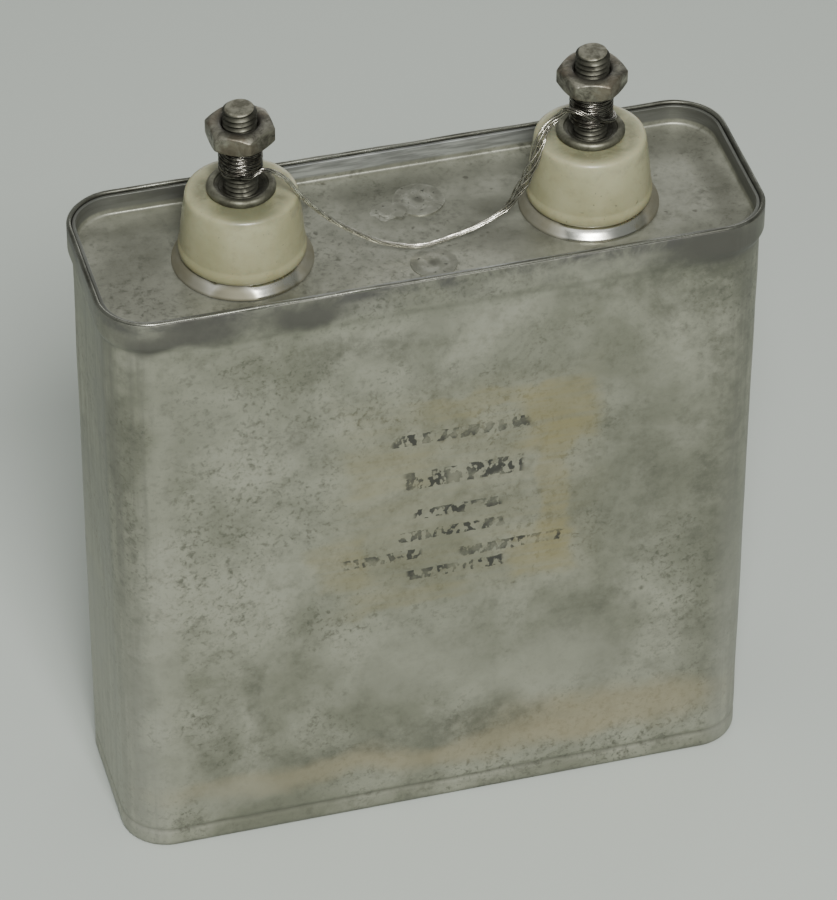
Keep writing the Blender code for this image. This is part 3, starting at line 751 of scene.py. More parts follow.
def pressed_pan(name, growth, floor_z, edge_z):
    """A pan whose flange runs from its floor to an edge above or below it."""
    half_width = can_half.x + growth
    half_depth = can_half.y + growth
    foot, top = sorted((floor_z, edge_z))
    bm = rounded_tube(half_width, half_depth, CORNER_RADIUS + growth, foot, top, CORNER_STEPS)
    loop = [e for e in bm.edges if all(abs(v.co.z - floor_z) < MERGE for v in e.verts)]
    made = bmesh.ops.edgeloop_fill(bm, edges=loop)["faces"]
    round_edges = [e for f in made for e in f.edges]
    soften(bm, round_edges, PAN_BEND, 4)
    slice_across(bm, 0, even_places(half_width, 2 * PANEL_STEP))
    slice_across(bm, 1, even_places(half_depth, 2 * PANEL_STEP))
    for vert in bm.verts:
        if abs(vert.co.z - floor_z) < MERGE:
            inside = min(half_width - abs(vert.co.x), half_depth - abs(vert.co.y))
            ripple = noise.noise(Vector((vert.co.x * 60, vert.co.y * 80, 9.0)))
            vert.co.z += PAN_WAVER * ripple * ease(inside / PAN_STIFF_EDGE)
    bmesh.ops.recalc_face_normals(bm, faces=bm.faces)
    on_floor = [f for f in bm.faces if abs(f.calc_center_median().z - floor_z) < PAN_WAVER + MERGE]
    floor = max(on_floor, key=lambda f: f.calc_area())
    away = -1 if edge_z > floor_z else 1
    if floor.normal.z * away < 0:
        bmesh.ops.reverse_faces(bm, faces=bm.faces)
    return make_piece(bm, name)


lid_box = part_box("lid")
lid_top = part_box("bushing_collar_left")[0].z - PAN_GAP
lid_growth = lid_box[1].x - can_half.x - SHEET
lid_pan = pressed_pan("lid_pan", lid_growth, lid_top, lid_box[1].z)
thicken(lid_pan, SHEET, 1, PAN_LIP)
cover_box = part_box("bottom_cover")
cover_under = cover_box[1].z - SHEET
cover_growth = cover_box[1].x - can_half.x - SHEET
bottom_pan = pressed_pan("bottom_pan", cover_growth, cover_under, cover_box[0].z)
thicken(bottom_pan, SHEET, 1, PAN_LIP)


PAST = 0.002


def drill(piece, holes):
    """Cut round holes through a piece, given as x, y and radius, and keep the result as its mesh."""
    cutters = []
    low = min(v.co.z for v in piece.data.vertices) - PAST
    high = max(v.co.z for v in piece.data.vertices) + PAST
    for x, y, radius in holes:
        bm = bmesh.new()
        size = {"radius1": radius, "radius2": radius, "depth": high - low}
        bmesh.ops.create_cone(bm, cap_ends=True, segments=HOLE_STEPS, **size)
        bmesh.ops.translate(bm, vec=(x, y, (high + low) / 2), verts=bm.verts)
        cutter = make_piece(bm, piece.name + "_hole")
        cutters.append(cutter)
        hole = piece.modifiers.new("hole", "BOOLEAN")
        hole.operation = "DIFFERENCE"
        hole.object = cutter
    bpy.context.view_layer.update()
    graph = bpy.context.evaluated_depsgraph_get()
    cut = bpy.data.meshes.new_from_object(piece.evaluated_get(graph))
    piece.modifiers.clear()
    cut.name = piece.name
    cut.shade_smooth()
    cut.set_sharp_from_angle(angle=math.radians(40))
    piece.data = cut
    for cutter in cutters:
        bpy.data.objects.remove(cutter)


def middle_of(node):
    """The level middle of a CAD node."""
    low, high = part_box(node)
    return (low.x + high.x) / 2, (low.y + high.y) / 2


SPIGOT_HOLE = 0.0059
FILL_HOLE = 0.0012
drill(lid_pan, [
    (*middle_of("bushing_left"), SPIGOT_HOLE),
    (*middle_of("bushing_right"), SPIGOT_HOLE),
    (*middle_of("fill_seal_front"), FILL_HOLE),
    (*middle_of("fill_seal_rear"), FILL_HOLE),
])

lid_tin = tinplate_finish("lid_tinplate", {
    "dull": (0.195, 0.198, 0.155),
    "light": (0.325, 0.328, 0.265),
    "dark": (0.060, 0.061, 0.045),
    "smudges": 0.6,
    "pit_scale": 300,
    "pit_size": 0.1,
    "pits": 0.7,
    "specks": 0.9,
    "smooth": 0.32,
    "rough": 0.5,
})
lid_skin = lid_tin.base
lid_warp = lid_tin.warped(0.004, 150)
# Dark stains on the lid: middle across and back, half sizes in millimetres, and strength
for x, y, width, depth, strength in (
    (-40, -2, 5, 12, 0.28),
    (-26, -12, 10, 2.0, 0.45),
    (40, 10, 9, 4, 0.4),
    (12, 2, 3, 2.2, 0.5),
    (9, -3, 5, 3, 0.25),
    (13, -6, 6, 3, 0.35),
    (44, -2, 2, 9, 0.5),
    (-2, 11, 40, 2, 0.3),
):
    middle = (x / 1000, y / 1000, lid_top)
    mask = lid_tin.patch(lid_warp, middle, (width / 1000, depth / 1000, 0.002), 0.55)
    lid_skin = lid_tin.mix(lid_tin.times(mask, strength), lid_skin, (0.07, 0.07, 0.05))
# Painted reflection on the flange above the floor's bend: a pale bluish grey, streaked along its length,
# darkened towards the sides
on_flange = lid_tin.between(lid_tin.axis("Z"), lid_top + 0.0006, lid_top + 0.0011)
along = lid_tin.grain(1.0, 4, 0.6, 0.2, lid_tin.stretch(90, 90, 900))
flange_reflection = lid_tin.mix(lid_tin.between(along, 0.4, 0.62), (0.36, 0.375, 0.35), (0.19, 0.197, 0.185))
sideways = lid_tin.between(lid_tin.sideways(), 0.010, 0.036, 0.0, 0.8)
flange_reflection = lid_tin.mix(sideways, flange_reflection, (0.085, 0.086, 0.07))
lid_skin = lid_tin.mix(on_flange, lid_skin, flange_reflection)
lid_tin.colour(lid_skin)
lid_tin.rough(lid_tin.between(lid_tin.cloud, 0.3, 0.7, 0.28, 0.46))
for pan in (lid_pan, bottom_pan):
    pan.data.materials.append(lid_tin.material)
    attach(pan, "capacitor")
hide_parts("lid")
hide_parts("bottom_cover")

# Soldered edges: where the flanges meet the can's wall the joint is sweated full of solder, which
# stands as a thin uneven bead along the rim and the foot.
BEAD_WIDTH = 0.00036
BEAD_POINTS = 420


def outline_point(share, growth):
    """A point a share of the way round the can's outline, moved out by growth."""
    run_x, run_y = 2 * inner_half.x, 2 * inner_half.y
    turn = (CORNER_RADIUS + growth) * math.pi / 2
    side_lengths = (run_x, turn, run_y, turn, run_x, turn, run_y, turn)
    at = share * sum(side_lengths)
    reach = CORNER_RADIUS + growth
    signs = ((-1, -1), (1, -1), (1, 1), (-1, 1))
    corners = [Vector((sx * inner_half.x, sy * inner_half.y, 0)) for sx, sy in signs]
    for i, length in enumerate(side_lengths):
        if at <= length or i == len(side_lengths) - 1:
            break
        at -= length
    quarter = i // 2
    normal = Matrix.Rotation(quarter * math.pi / 2, 3, "Z") @ Vector((0, -1, 0))
    along = Matrix.Rotation(quarter * math.pi / 2, 3, "Z") @ Vector((1, 0, 0))
    if i % 2 == 0:
        return corners[quarter] + along * at + normal * reach
    centre = corners[(quarter + 1) % 4]
    return centre + Matrix.Rotation(at / reach, 3, "Z") @ normal * reach


def solder_bead(name, growth, height, thickness):
    """An uneven bead of solder laid along the whole outline."""
    curve = bpy.data.curves.new(name, "CURVE")
    curve.dimensions = "3D"
    curve.bevel_depth = thickness
    curve.bevel_resolution = 3
    spline = curve.splines.new("POLY")
    spline.points.add(BEAD_POINTS - 1)
    spline.use_cyclic_u = True
    for i, knot in enumerate(spline.points):
        place = outline_point(i / BEAD_POINTS, growth)
        uneven = noise.noise(place * 130 + Vector((0, 0, height * 40)))
        place.z = height + 0.00006 * uneven
        knot.co = (*place, 1)
        knot.radius = 1 + 0.22 * uneven
    return as_mesh_piece(curve, name)


bead_tin = Finish("bead_solder", 0.85, 0.36)
bead_cloud = bead_tin.grain(120, 5, 0.6)
bead_tin.colour(
    bead_tin.two_tone(bead_cloud, 0.38, 0.66, (0.20, 0.203, 0.17), (0.075, 0.075, 0.06))
)
bead_tin.rough(bead_tin.between(bead_cloud, 0.35, 0.7, 0.2, 0.4))
bead_tin.bump(bead_tin.grain(900, 4), 0.00006, 0.5)
rim_bead = solder_bead("rim_solder", RIM_STEP - SHEET + 0.0001, can_top - 0.00013, BEAD_WIDTH)
foot_bead = solder_bead("foot_solder", -SHEET - 0.0002, 0.0006, 0.8 * BEAD_WIDTH)
for bead in (rim_bead, foot_bead):
    bead.data.materials.append(bead_tin.material)
    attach(bead, "capacitor")

# Filling seals: a flat button of solder wiped over each filling hole, dimpled in the middle, with
# an untidy edge. The rear one was gone over twice and left a ragged splash beside it.
SEAL_RINGS = 10
SEAL_SKIRT = 0.0002
SEAL_SEAT = 0.00014


def solder_button(name, node, rise, dimple, ragged_edge, seed):
    """A low round of solder with a dimple and an uneven edge, on the lid over its plug."""
    low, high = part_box(node)
    x, y = middle_of(node)
    radius = (high.x - low.x) / 2
    bm = bmesh.new()
    bmesh.ops.create_circle(bm, cap_ends=True, segments=64, radius=radius)
    rim = list(bm.faces)
    ring_width = radius / (SEAL_RINGS + 1.5)
    for _ in range(SEAL_RINGS):
        bmesh.ops.inset_region(bm, faces=rim, thickness=ring_width, use_even_offset=False)
    skirt = [e for e in bm.edges if e.is_boundary]
    grown = bmesh.ops.extrude_edge_only(bm, edges=skirt)["geom"]
    wall = [item for item in grown if isinstance(item, bmesh.types.BMVert)]
    bmesh.ops.translate(bm, vec=(0, 0, -SEAL_SKIRT), verts=wall)
    base = [item for item in grown if isinstance(item, bmesh.types.BMEdge) and item.is_boundary]
    bmesh.ops.edgeloop_fill(bm, edges=base)
    below = set(wall)
    for vert in bm.verts:
        reach = vert.co.length / radius if vert not in below else 1.0
        flat = Vector((vert.co.x, vert.co.y, seed))
        waver = 1 + ragged_edge * ease(reach * 1.3 - 0.3) * noise.noise(flat * 420)
        if vert not in below:
            dome = 1 - reach ** 4
            hollow = math.exp(-((reach / 0.3) ** 2))
            ripple = 0.00008 * noise.noise(flat * 900) * (1 - reach)
            vert.co.z = rise * dome - dimple * hollow + ripple
        vert.co.x *= waver
        vert.co.y *= waver
    bmesh.ops.translate(bm, vec=(x, y, lid_top + SEAL_SEAT), verts=bm.verts)
    bmesh.ops.recalc_face_normals(bm, faces=bm.faces)
    return make_piece(bm, name)


rear_button = solder_button("rear_seal_button", "fill_seal_rear", 0.0005, 0.0004, 0.05, 1.0)
front_button = solder_button("front_seal_button", "fill_seal_front", 0.00045, 0.0004, 0.04, 5.0)


def solder_splash(name, centre, size, seed):
    """A ragged low splash of solder, grown from a flattened ball."""
    bm = bmesh.new()
    bmesh.ops.create_icosphere(bm, subdivisions=4, radius=1.0)
    for vert in bm.verts:
        broad = noise.noise(vert.co * 1.7 + Vector((seed, 0, 0)))
        small = noise.noise(vert.co * 5 + Vector((seed, 3, 0)))
        lump = 1 + 0.45 * broad + 0.2 * small
        vert.co.z = max(-0.3, vert.co.z)
        vert.co = Vector([along * half * lump for along, half in zip(vert.co, size)])
    bmesh.ops.translate(bm, vec=centre, verts=bm.verts)
    bmesh.ops.recalc_face_normals(bm, faces=bm.faces)
    return make_piece(bm, name)


rear_x, rear_y = middle_of("fill_seal_rear")
splash_at = (rear_x - 0.0042, rear_y - 0.0016, lid_top + 0.00005)
splash = solder_splash("rear_seal_splash", splash_at, (0.0028, 0.0019, 0.0003), 2.0)
seal_tin = Finish("seal_solder", 0.7, 0.38)
seal_cloud = seal_tin.grain(330, 6, 0.65, 0.6)
seal_skin = seal_tin.two_tone(seal_cloud, 0.36, 0.62, (0.40, 0.402, 0.335), (0.23, 0.232, 0.187))
# Painted shade: the dimple and a broken ring round the button's foot are darkened
for seal in ("fill_seal_front", "fill_seal_rear"):
    centre = (*middle_of(seal), lid_top)
    shifted = seal_tin.warped(0.0012, 500)
    off = seal_tin.add("ShaderNodeVectorMath", shifted, centre, operation="DISTANCE")
    reach = off.outputs["Value"]
    dimple_shade = seal_tin.between(reach, 0.0003, 0.0012, 0.8, 0.0)
    seal_skin = seal_tin.mix(dimple_shade, seal_skin, (0.12, 0.12, 0.095))
    past = seal_tin.between(reach, 0.0019, 0.0027)
    edge_on = seal_tin.between(reach, 0.0032, 0.0040, 0.45, 0.0)
    seal_skin = seal_tin.mix(seal_tin.times(past, edge_on), seal_skin, (0.13, 0.13, 0.10))
dark_specks = seal_tin.between(seal_tin.grain(1400, 3), 0.62, 0.72)
seal_tin.colour(seal_tin.mix(dark_specks, seal_skin, (0.05, 0.05, 0.04)))
seal_tin.rough(seal_tin.between(seal_cloud, 0.3, 0.7, 0.3, 0.5))
seal_tin.bump(seal_tin.grain(800, 5), 0.00006, 0.4)
for button in (rear_button, front_button, splash):
    button.data.materials.append(seal_tin.material)
    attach(button, "capacitor")
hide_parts("fill_seal_rear")
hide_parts("fill_seal_front")

# Bushing collars: tinned steel rings, rolled to a round edge and sweated to the lid, darker and
# yellow-brown at the foot where they meet it. Their bright front is a painted highlight.
ROUND_STEPS = 96
UPRIGHT = {"axis": (0, 0, 1), "cent": (0, 0, 0)}


def lathe(name, profile, centre):
    """Spin a (radius, height) profile about an upright axis.

    A profile that starts off the axis closes on itself, as a ring does.
    """
    bm = bmesh.new()
    verts = [bm.verts.new((radius, 0, height)) for radius, height in profile]
    ends = verts[1:] + verts[:1] if profile[0][0] > 0 else verts[1:]
    edges = [bm.edges.new(pair) for pair in zip(verts, ends)]
    bmesh.ops.spin(bm, geom=[*verts, *edges], **UPRIGHT, angle=math.tau, steps=ROUND_STEPS, use_merge=True)
    bmesh.ops.remove_doubles(bm, verts=bm.verts, dist=MERGE)
    bmesh.ops.recalc_face_normals(bm, faces=bm.faces)
    bmesh.ops.translate(bm, vec=(centre[0], centre[1], 0), verts=bm.verts)
    return make_piece(bm, name)


# The collar's sloping side: shares of its radius and of its height
COLLAR_SLOPE = ((1.028, 0.02), (1.012, 0.16), (0.992, 0.36), (0.97, 0.58), (0.945, 0.79), (0.915, 0.95))
collar_tin = Finish("collar_tin", 1.0, 0.24)
collar_cloud = collar_tin.grain(150, 5, 0.6)
collar_skin = collar_tin.two_tone(collar_cloud, 0.4, 0.66, (0.66, 0.66, 0.6), (0.42, 0.39, 0.27))
low_down = collar_tin.between(
    collar_tin.axis("Z", collar_tin.warped(0.0008, 400)), lid_top, lid_top + 0.0006, 0.25, 0.0
)
collar_skin = collar_tin.mix(low_down, collar_skin, (0.20, 0.175, 0.10))
# Painted highlight: the ring's colour stays bright only at the front, facing the key light, and turns to a
# duller tone at the sides, the back and on part of the left ring's front, where the highlight is weaker
aside = collar_tin.sum("SUBTRACT", collar_tin.sideways(), right_x)
off_front = collar_tin.between(collar_tin.sum("ABSOLUTE", aside), 0.0042, 0.0078, 0.0, 0.8)
to_the_back = collar_tin.between(collar_tin.axis("Y"), -0.006, -0.002, 0.0, 0.7)
off_highlight = collar_tin.sum("MAXIMUM", off_front, to_the_back)
dimmer_left_highlight = collar_tin.patch(
    collar_tin.warped(0.001, 300), (-right_x - 0.0035, -0.0085, lid_top), (0.0034, 0.003, 0.002), 0.4
)
off_highlight = collar_tin.sum("MAXIMUM", off_highlight, dimmer_left_highlight)
collar_tin.colour(collar_tin.mix(off_highlight, collar_skin, (0.235, 0.225, 0.165)))
sheen = collar_tin.between(collar_cloud, 0.35, 0.7, 0.2, 0.38)
dull = collar_tin.between(off_highlight, 0.1, 0.7, 0.2, 0.7)
collar_tin.rough(collar_tin.sum("MAXIMUM", sheen, dull))
collar_tin.bump(collar_tin.grain(500, 3), 0.00003, 0.4)

# Bushings: slip-cast and glazed ceramic, wide at the foot and tapering to a soft shoulder, with a
# spigot down through the lid. Handling and flux have yellowed them at the foot and the bore.
BUSHING_BORE = 0.0027
SPIGOT = 0.0056
SHOULDER = 0.0079
GLAZE_WAVER = 0.00007
GLAZE = {"Coat Weight": 0.35, "Coat Roughness": 0.22, "Subsurface Weight": 0.08, "Subsurface Scale": 0.002}
glaze = Finish("glazed_ceramic", 0.0, 0.4)
for socket, amount in GLAZE.items():
    glaze.shader.inputs[socket].default_value = amount
clay_cloud = glaze.grain(110, 5, 0.6)
clay = glaze.two_tone(clay_cloud, 0.35, 0.7, (0.345, 0.337, 0.203), (0.28, 0.272, 0.152))
bushing_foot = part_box("bushing_collar_left")[1].z
bushing_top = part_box("bushing_left")[1].z


def from_stud(finish):
    """How far a place is from the nearer stud's axis."""
    aside = finish.sum("SUBTRACT", finish.sideways(), right_x)
    squares = [finish.times(value, value) for value in (aside, finish.axis("Y"))]
    return finish.sum("SQRT", finish.sum("ADD", *squares))


out = from_stud(glaze)
dirt = glaze.grain(260, 6, 0.65, 0.5)
height = glaze.axis("Z")
low_down = glaze.between(height, bushing_foot + 0.0002, bushing_foot + 0.0042, 0.9, 0.0)
foot_dirt = glaze.times(low_down, glaze.between(dirt, 0.42, 0.68, 0.15, 0.9))
clay = glaze.mix(foot_dirt, clay, (0.27, 0.25, 0.12))
near_bore = glaze.between(out, 0.0056, 0.0078, 1.0, 0.0)
on_top = glaze.between(height, bushing_top - 0.0014, bushing_top - 0.0003)
caked = glaze.between(dirt, 0.35, 0.6, 0.45, 1.0)
clay = glaze.mix(glaze.times(near_bore, on_top, caked), clay, (0.135, 0.135, 0.075))
off_shoulder = glaze.sum("ABSOLUTE", glaze.sum("SUBTRACT", height, bushing_top - 0.0016))
on_shoulder = glaze.between(off_shoulder, 0.0, 0.0011, 0.75, 0.0)
shoulder_dirt = glaze.times(on_shoulder, glaze.between(dirt, 0.5, 0.66))
clay = glaze.mix(shoulder_dirt, clay, (0.24, 0.235, 0.15))
left_front = glaze.patch(
    glaze.warped(0.0015, 400), (left_x, -0.0064, bushing_top), (0.0036, 0.0016, 0.0012), 0.5
)
clay = glaze.mix(glaze.times(left_front, 0.75), clay, (0.125, 0.128, 0.07))
crazing = glaze.between(glaze.grain(900, 5, 0.7), 0.5, 0.72, 0.0, 0.3)
clay = glaze.mix(crazing, clay, (0.19, 0.185, 0.11))
flecks = glaze.between(glaze.grain(1300, 2), 0.7, 0.76, 0.0, 0.7)
glaze.colour(glaze.mix(flecks, clay, (0.12, 0.11, 0.07)))
glaze.rough(glaze.between(dirt, 0.35, 0.7, 0.34, 0.6))
glaze.bump(glaze.grain(700, 4), 0.00005, 0.35)

for side in ("left", "right"):
    centre = middle_of(f"bushing_{side}")
    low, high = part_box(f"bushing_collar_{side}")
    outer = (high.x - low.x) / 2
    rise = high.z - low.z
    collar = lathe(
        f"collar_ring_{side}",
        [
            (SPIGOT_HOLE, low.z - 0.0002),
            (1.03 * outer, low.z - 0.0002),
            *((share * outer, low.z + up * rise) for share, up in COLLAR_SLOPE),
            (0.88 * outer, high.z + 0.0001),
            (SPIGOT_HOLE, high.z + 0.0001),
        ],
        centre,
    )
    collar.data.materials.append(collar_tin.material)
    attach(collar, "capacitor")
    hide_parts(f"bushing_collar_{side}")

    low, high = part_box(f"bushing_{side}")
    wide = (high.x - low.x) / 2
    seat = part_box(f"bushing_collar_{side}")[1].z + 0.0002
    body = high.z - seat
    bushing = lathe(
        f"bushing_body_{side}",
        [
            (BUSHING_BORE, low.z),
            (SPIGOT, low.z),
            (SPIGOT, seat),
            (wide - 0.0004, seat),
            (wide - 0.0001, seat + 0.0003),
            (wide, seat + 0.0008),
            (wide - 0.00003, seat + 0.0015),
            (wide - 0.0002, seat + 0.0018),
            (wide - 0.00024, seat + 0.0022),
            (SHOULDER + 0.58 * (wide - SHOULDER), seat + 0.48 * body),
            (SHOULDER + 0.30 * (wide - SHOULDER), seat + 0.72 * body),
            (SHOULDER + 0.08 * (wide - SHOULDER), seat + 0.90 * body),
            (SHOULDER, high.z - 0.00055),
            (SHOULDER - 0.00012, high.z - 0.00024),
            (SHOULDER - 0.0004, high.z - 0.00006),
            (SHOULDER - 0.0009, high.z),
            (0.0030, high.z),
            (BUSHING_BORE, high.z - 0.0003),
        ],
        centre,
    )
    for vert in bushing.data.vertices:
        level = Vector((vert.co.x - centre[0], vert.co.y - centre[1], 0))
        if level.length > 0.007:
            vert.co += level.normalized() * GLAZE_WAVER * noise.noise(vert.co * 170)
    bushing.data.materials.append(glaze.material)
    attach(bushing, "capacitor")
    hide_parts(f"bushing_{side}")

# Terminal hardware: turned steel studs with a 32-to-the-inch thread, dished washers and chamfered
# hexagon nuts. All of it has gone dark and mottled, and the studs' tips are rubbed lighter.
THREAD_PITCH = 0.0254 / 32
THREAD_DEPTH = 0.00046
THREAD_STEPS = 40
CREST_DROP = 0.00003
STUD_CHAMFER = 0.0004
TIP_INSET = 0.0007
TIP_CROWN = 0.00004
WASHER_BORE = 0.00245
NUT_FLATS = 0.00873
NUT_STEPS = 96
NUT_BORE = 0.00252
NUT_ARRIS = 0.00022
NUT_TURN = {"left": math.radians(-27.6), "right": math.radians(-15.6)}

stud_steel = Finish("dark_steel", 0.9, 0.38)
steel_cloud = stud_steel.grain(420, 6, 0.65, 0.4)
steel = stud_steel.two_tone(steel_cloud, 0.35, 0.68, (0.115, 0.113, 0.088), (0.034, 0.033, 0.025))
stud_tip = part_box("terminal_stud_left")[1].z
at_tip = stud_steel.between(stud_steel.axis("Z"), stud_tip - 0.0002, stud_tip, 0.0, 0.85)
tip_cloud = stud_steel.grain(700, 5, 0.65)
tip_skin = stud_steel.two_tone(tip_cloud, 0.38, 0.62, (0.34, 0.33, 0.26), (0.15, 0.143, 0.105))
stud_steel.colour(stud_steel.mix(at_tip, steel, tip_skin))
stud_steel.rough(stud_steel.between(steel_cloud, 0.3, 0.7, 0.38, 0.65))
stud_steel.bump(stud_steel.grain(1800, 4), 0.00004, 0.5)
dished_steel = Finish("washer_steel", 0.85, 0.4)
washer_cloud = dished_steel.grain(350, 6, 0.65, 0.4)
washer_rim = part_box("terminal_washer_right")[1].x - right_x
# Painted shade: the dished bowl round the stud is coloured far darker than the flat outer ring
outer_ring = dished_steel.between(from_stud(dished_steel), washer_rim - 0.0014, washer_rim - 0.0009)
ring_skin = dished_steel.two_tone(washer_cloud, 0.35, 0.68, (0.215, 0.213, 0.160), (0.085, 0.083, 0.060))
shaded_bowl_skin = dished_steel.two_tone(washer_cloud, 0.35, 0.68, (0.078, 0.076, 0.057), (0.028, 0.027, 0.020))
dished_steel.colour(dished_steel.mix(outer_ring, shaded_bowl_skin, ring_skin))
dished_steel.rough(dished_steel.between(washer_cloud, 0.3, 0.7, 0.4, 0.65))
dished_steel.bump(dished_steel.grain(1800, 4), 0.00004, 0.5)
nut_steel = Finish("rusted_steel", 0.8, 0.42)
nut_cloud = nut_steel.grain(480, 6, 0.7, 0.5)
nut_skin = nut_steel.two_tone(nut_cloud, 0.36, 0.66, (0.245, 0.237, 0.187), (0.068, 0.064, 0.050))
rust = nut_steel.between(nut_steel.grain(210, 5, 0.6, 0.3), 0.48, 0.62, 0.0, 0.6)
nut_skin = nut_steel.mix(rust, nut_skin, (0.135, 0.11, 0.075))
# Painted shade: darkening towards the bore, in the hollow between the nut and the stud
bore_shade = nut_steel.between(from_stud(nut_steel), 0.0025, 0.0038, 0.85, 0.0)
nut_steel.colour(nut_steel.mix(bore_shade, nut_skin, (0.035, 0.032, 0.027)))
nut_steel.rough(nut_steel.between(nut_cloud, 0.3, 0.7, 0.3, 0.6))
nut_steel.bump(nut_steel.grain(1300, 5, 0.65), 0.00009, 0.8)


def threaded_stud(name, node):
    """A rod with a helical thread, cut square at both ends and chamfered."""
    low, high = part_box(node)
    centre = middle_of(node)
    major = (high.x - low.x) / 2
    root = major - THREAD_DEPTH
    below = major - CREST_DROP
    tooth = ((0.0, root), (0.12, root), (0.44, below), (0.5, major), (0.56, below), (0.88, root))
    count = math.ceil((high.z - low.z) / THREAD_PITCH) + 2
    bm = bmesh.new()
    start = low.z - 1.5 * THREAD_PITCH
    verts = []
    for i in range(count):
        for share, radius in tooth:
            verts.append(bm.verts.new((radius, 0, start + (i + share) * THREAD_PITCH)))
    edges = [bm.edges.new(pair) for pair in zip(verts, verts[1:])]
    bmesh.ops.spin(
        bm,
        geom=[*verts, *edges],
        **UPRIGHT,
        dvec=(0, 0, THREAD_PITCH / THREAD_STEPS),
        angle=math.tau,
        steps=THREAD_STEPS,
    )
    bmesh.ops.remove_doubles(bm, verts=bm.verts, dist=MERGE)
    for place, normal in ((low.z, -1), (high.z, 1)):
        cut = bmesh.ops.bisect_plane(
            bm,
            geom=[*bm.verts, *bm.edges, *bm.faces],
            dist=1e-7,
            plane_co=(0, 0, place),
            plane_no=(0, 0, normal),
            clear_outer=True,
        )
        rim = [item for item in cut["geom_cut"] if isinstance(item, bmesh.types.BMEdge)]
        cap = bmesh.ops.edgeloop_fill(bm, edges=rim)["faces"]
        if cap:
            bmesh.ops.inset_region(bm, faces=cap, thickness=TIP_INSET, use_even_offset=False)
            middle = list({v for f in cap for v in f.verts})
            bmesh.ops.translate(bm, vec=(0, 0, normal * TIP_CROWN), verts=middle)
    for vert in bm.verts:
        reach = math.hypot(vert.co.x, vert.co.y)
        end = min(high.z - vert.co.z, vert.co.z - low.z)
        limit = major - STUD_CHAMFER + max(0.0, end)
        if reach > limit:
            vert.co.x *= limit / reach
            vert.co.y *= limit / reach
    bmesh.ops.translate(bm, vec=(centre[0], centre[1], 0), verts=bm.verts)
    bmesh.ops.recalc_face_normals(bm, faces=bm.faces)
    return make_piece(bm, name, math.radians(50))


def chamfered_nut(name, node, turn):
    """A hexagon nut whose corners are turned off to a cone above and below."""
    low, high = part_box(node)
    centre = middle_of(node)
    half_flats = NUT_FLATS / 2
    face = 0.95 * half_flats
    slope = math.tan(math.radians(30))
    bm = bmesh.new()
    bmesh.ops.create_circle(bm, cap_ends=False, segments=NUT_STEPS, radius=1.0)

    def set_ring(ring, reach, height):
        for vert in ring:
            angle = math.atan2(vert.co.y, vert.co.x)
            folded = (angle - turn) % (math.pi / 3) - math.pi / 6
            corner = half_flats / math.cos(folded)
            radius = corner if reach is None else reach
            drop = max(0.0, radius - face) * slope if reach is None else 0.0
            level = height - math.copysign(drop, height)
            vert.co = Vector((radius * math.cos(angle), radius * math.sin(angle), level))

    middle = (low.z + high.z) / 2
    half = (high.z - low.z) / 2
    rings = [
        (NUT_BORE, half - 0.0003),
        (NUT_BORE + 0.00035, half),
        (face, half),
        (None, half),
        (None, -half),
        (face, -half),
        (NUT_BORE + 0.00035, -half),
        (NUT_BORE, -half + 0.0003),
    ]
    ring = list(bm.verts)
    edges = list(bm.edges)
    first = edges
    set_ring(ring, *rings[0])
    for reach, height in rings[1:]:
        grown = bmesh.ops.extrude_edge_only(bm, edges=edges)["geom"]
        ring = [item for item in grown if isinstance(item, bmesh.types.BMVert)]
        edges = [e for e in grown if isinstance(e, bmesh.types.BMEdge) and all(v in ring for v in e.verts)]
        set_ring(ring, reach, height)
    bmesh.ops.bridge_loops(bm, edges=[*first, *edges])
    bmesh.ops.recalc_face_normals(bm, faces=bm.faces)
    arris = [e for e in bm.edges if len(e.link_faces) == 2 and e.calc_face_angle(0) > math.radians(22)]
    soften(bm, arris, NUT_ARRIS, 2, clamp=True)
    bmesh.ops.translate(bm, vec=(centre[0], centre[1], middle), verts=bm.verts)
    return make_piece(bm, name, math.radians(35))


for side in ("left", "right"):
    low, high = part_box(f"terminal_washer_{side}")
    outer = (high.x - low.x) / 2
    washer = lathe(
        f"dished_washer_{side}",
        [
            (WASHER_BORE, low.z - 0.0002),
            (outer - 0.0003, low.z - 0.0002),
            (outer, low.z + 0.0002),
            (outer, high.z - 0.0004),
            (outer - 0.0002, high.z - 0.0001),
            (outer - 0.0005, high.z),
            (outer - 0.0010, high.z - 0.00012),
            (outer - 0.00115, high.z - 0.00036),
            (outer - 0.0016, high.z - 0.0005),
            (outer - 0.00172, high.z - 0.0004),
            (outer - 0.0021, high.z - 0.00062),
            (WASHER_BORE, high.z - 0.0008),
        ],
        middle_of(f"terminal_washer_{side}"),
    )
    washer.data.materials.append(dished_steel.material)
    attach(washer, "capacitor")
    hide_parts(f"terminal_washer_{side}")

    stud = threaded_stud(f"threaded_stud_{side}", f"terminal_stud_{side}")
    stud.data.materials.append(stud_steel.material)
    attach(stud, "capacitor")
    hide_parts(f"terminal_stud_{side}")

    nut = chamfered_nut(f"hexagon_nut_{side}", f"terminal_nut_{side}", NUT_TURN[side])
    nut.data.materials.append(nut_steel.material)
    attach(nut, f"{side}_nut")
    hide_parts(f"terminal_nut_{side}")

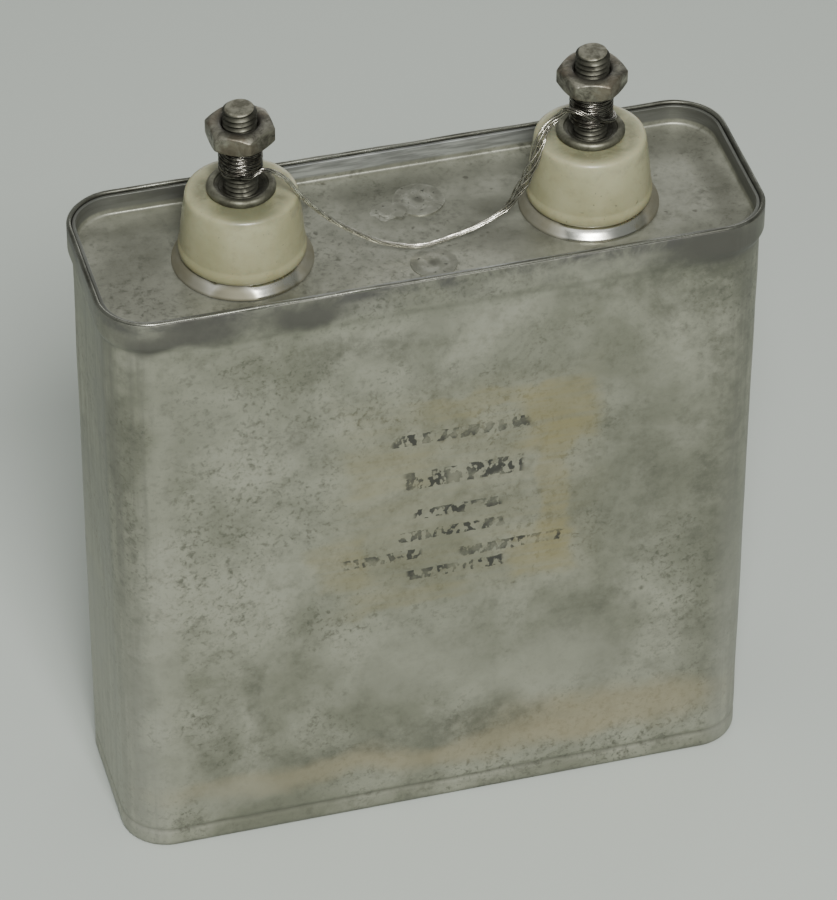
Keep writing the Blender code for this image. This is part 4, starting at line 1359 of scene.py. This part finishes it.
# Inside the can: paper-and-foil windings in a pressboard liner, joined by copper straps to the
# lugs under the lid. They keep the CAD model's shapes and get their own finishes.
paper = Finish("kraft_paper", 0.0, 0.75)
fibres = paper.grain(1.0, 5, 0.6, 0.3, paper.stretch(500, 500, 2400))
layers = paper.grain(1.0, 3, 0.5, 0.0, paper.stretch(20, 3600, 20))
paper_skin = paper.two_tone(fibres, 0.35, 0.65, (0.46, 0.32, 0.17), (0.36, 0.24, 0.12))
lines = paper.between(layers, 0.45, 0.6, 0.0, 0.35)
paper.colour(paper.mix(lines, paper_skin, (0.20, 0.13, 0.07)))
paper.bump(fibres, 0.0001, 0.5)
board = Finish("pressboard", 0.0, 0.8)
flock = board.grain(700, 6, 0.7)
board.colour(board.two_tone(flock, 0.35, 0.7, (0.40, 0.27, 0.15), (0.27, 0.17, 0.09)))
board.bump(flock, 0.00012, 0.6)
copper = Finish("copper_strap", 1.0, 0.34)
drawn_lines = copper.grain(1.0, 4, 0.6, 0.0, copper.stretch(3000, 3000, 120))
copper.colour(copper.two_tone(drawn_lines, 0.38, 0.66, (0.72, 0.40, 0.25), (0.42, 0.22, 0.14)))
copper.rough(copper.between(drawn_lines, 0.3, 0.7, 0.26, 0.46))
INSIDE = {
    "winding_front": paper,
    "winding_middle": paper,
    "winding_rear": paper,
    "liner": board,
    "top_board": board,
    "bottom_board": board,
    "link_front": copper,
    "link_rear": copper,
}
for side in ("left", "right"):
    INSIDE[f"inner_bushing_{side}"] = glaze
    INSIDE[f"inner_washer_{side}"] = stud_steel
    INSIDE[f"inner_nut_{side}"] = nut_steel
    INSIDE[f"solder_lug_{side}"] = copper
    INSIDE[f"lead_{side}"] = copper
for name, finish in INSIDE.items():
    nodes[name].data.materials.clear()
    nodes[name].data.materials.append(finish.material)

# Studio: a plain pale floor, a soft key light above and in front, a weaker broad one overhead, a
# low one behind that lifts the back, and an even pale grey surround.
AIM = (0, 0, 0.06)
floor_mesh = bmesh.new()
bmesh.ops.create_grid(floor_mesh, x_segments=1, y_segments=1, size=3.0)
floor = make_piece(floor_mesh, "floor")
paint = Finish("floor", 0.0, 0.85)
paint.colour((0.47, 0.505, 0.46))
floor.data.materials.append(paint.material)


def soft_light(name, place, size, power):
    """A square area light aimed at the can."""
    data = bpy.data.lights.new(name, "AREA")
    data.shape = "SQUARE"
    data.size = size
    data.energy = power
    light = bpy.data.objects.new(name, data)
    light.location = place
    light.rotation_euler = (Vector(place) - Vector(AIM)).to_track_quat("Z", "Y").to_euler()
    bpy.context.scene.collection.objects.link(light)


soft_light("key", (-0.08, -0.62, 0.74), 0.26, 11.0)
soft_light("overhead", (-0.1, 0.0, 1.2), 1.0, 2.5)
soft_light("back_fill", (0.4, 1.0, 0.25), 0.8, 3.0)
world = bpy.data.worlds.new("studio")
world.use_nodes = True
surround = world.node_tree.nodes["Background"]
surround.inputs["Color"].default_value = (0.86, 0.90, 0.86, 1)
surround.inputs["Strength"].default_value = 0.28
bpy.context.scene.world = world
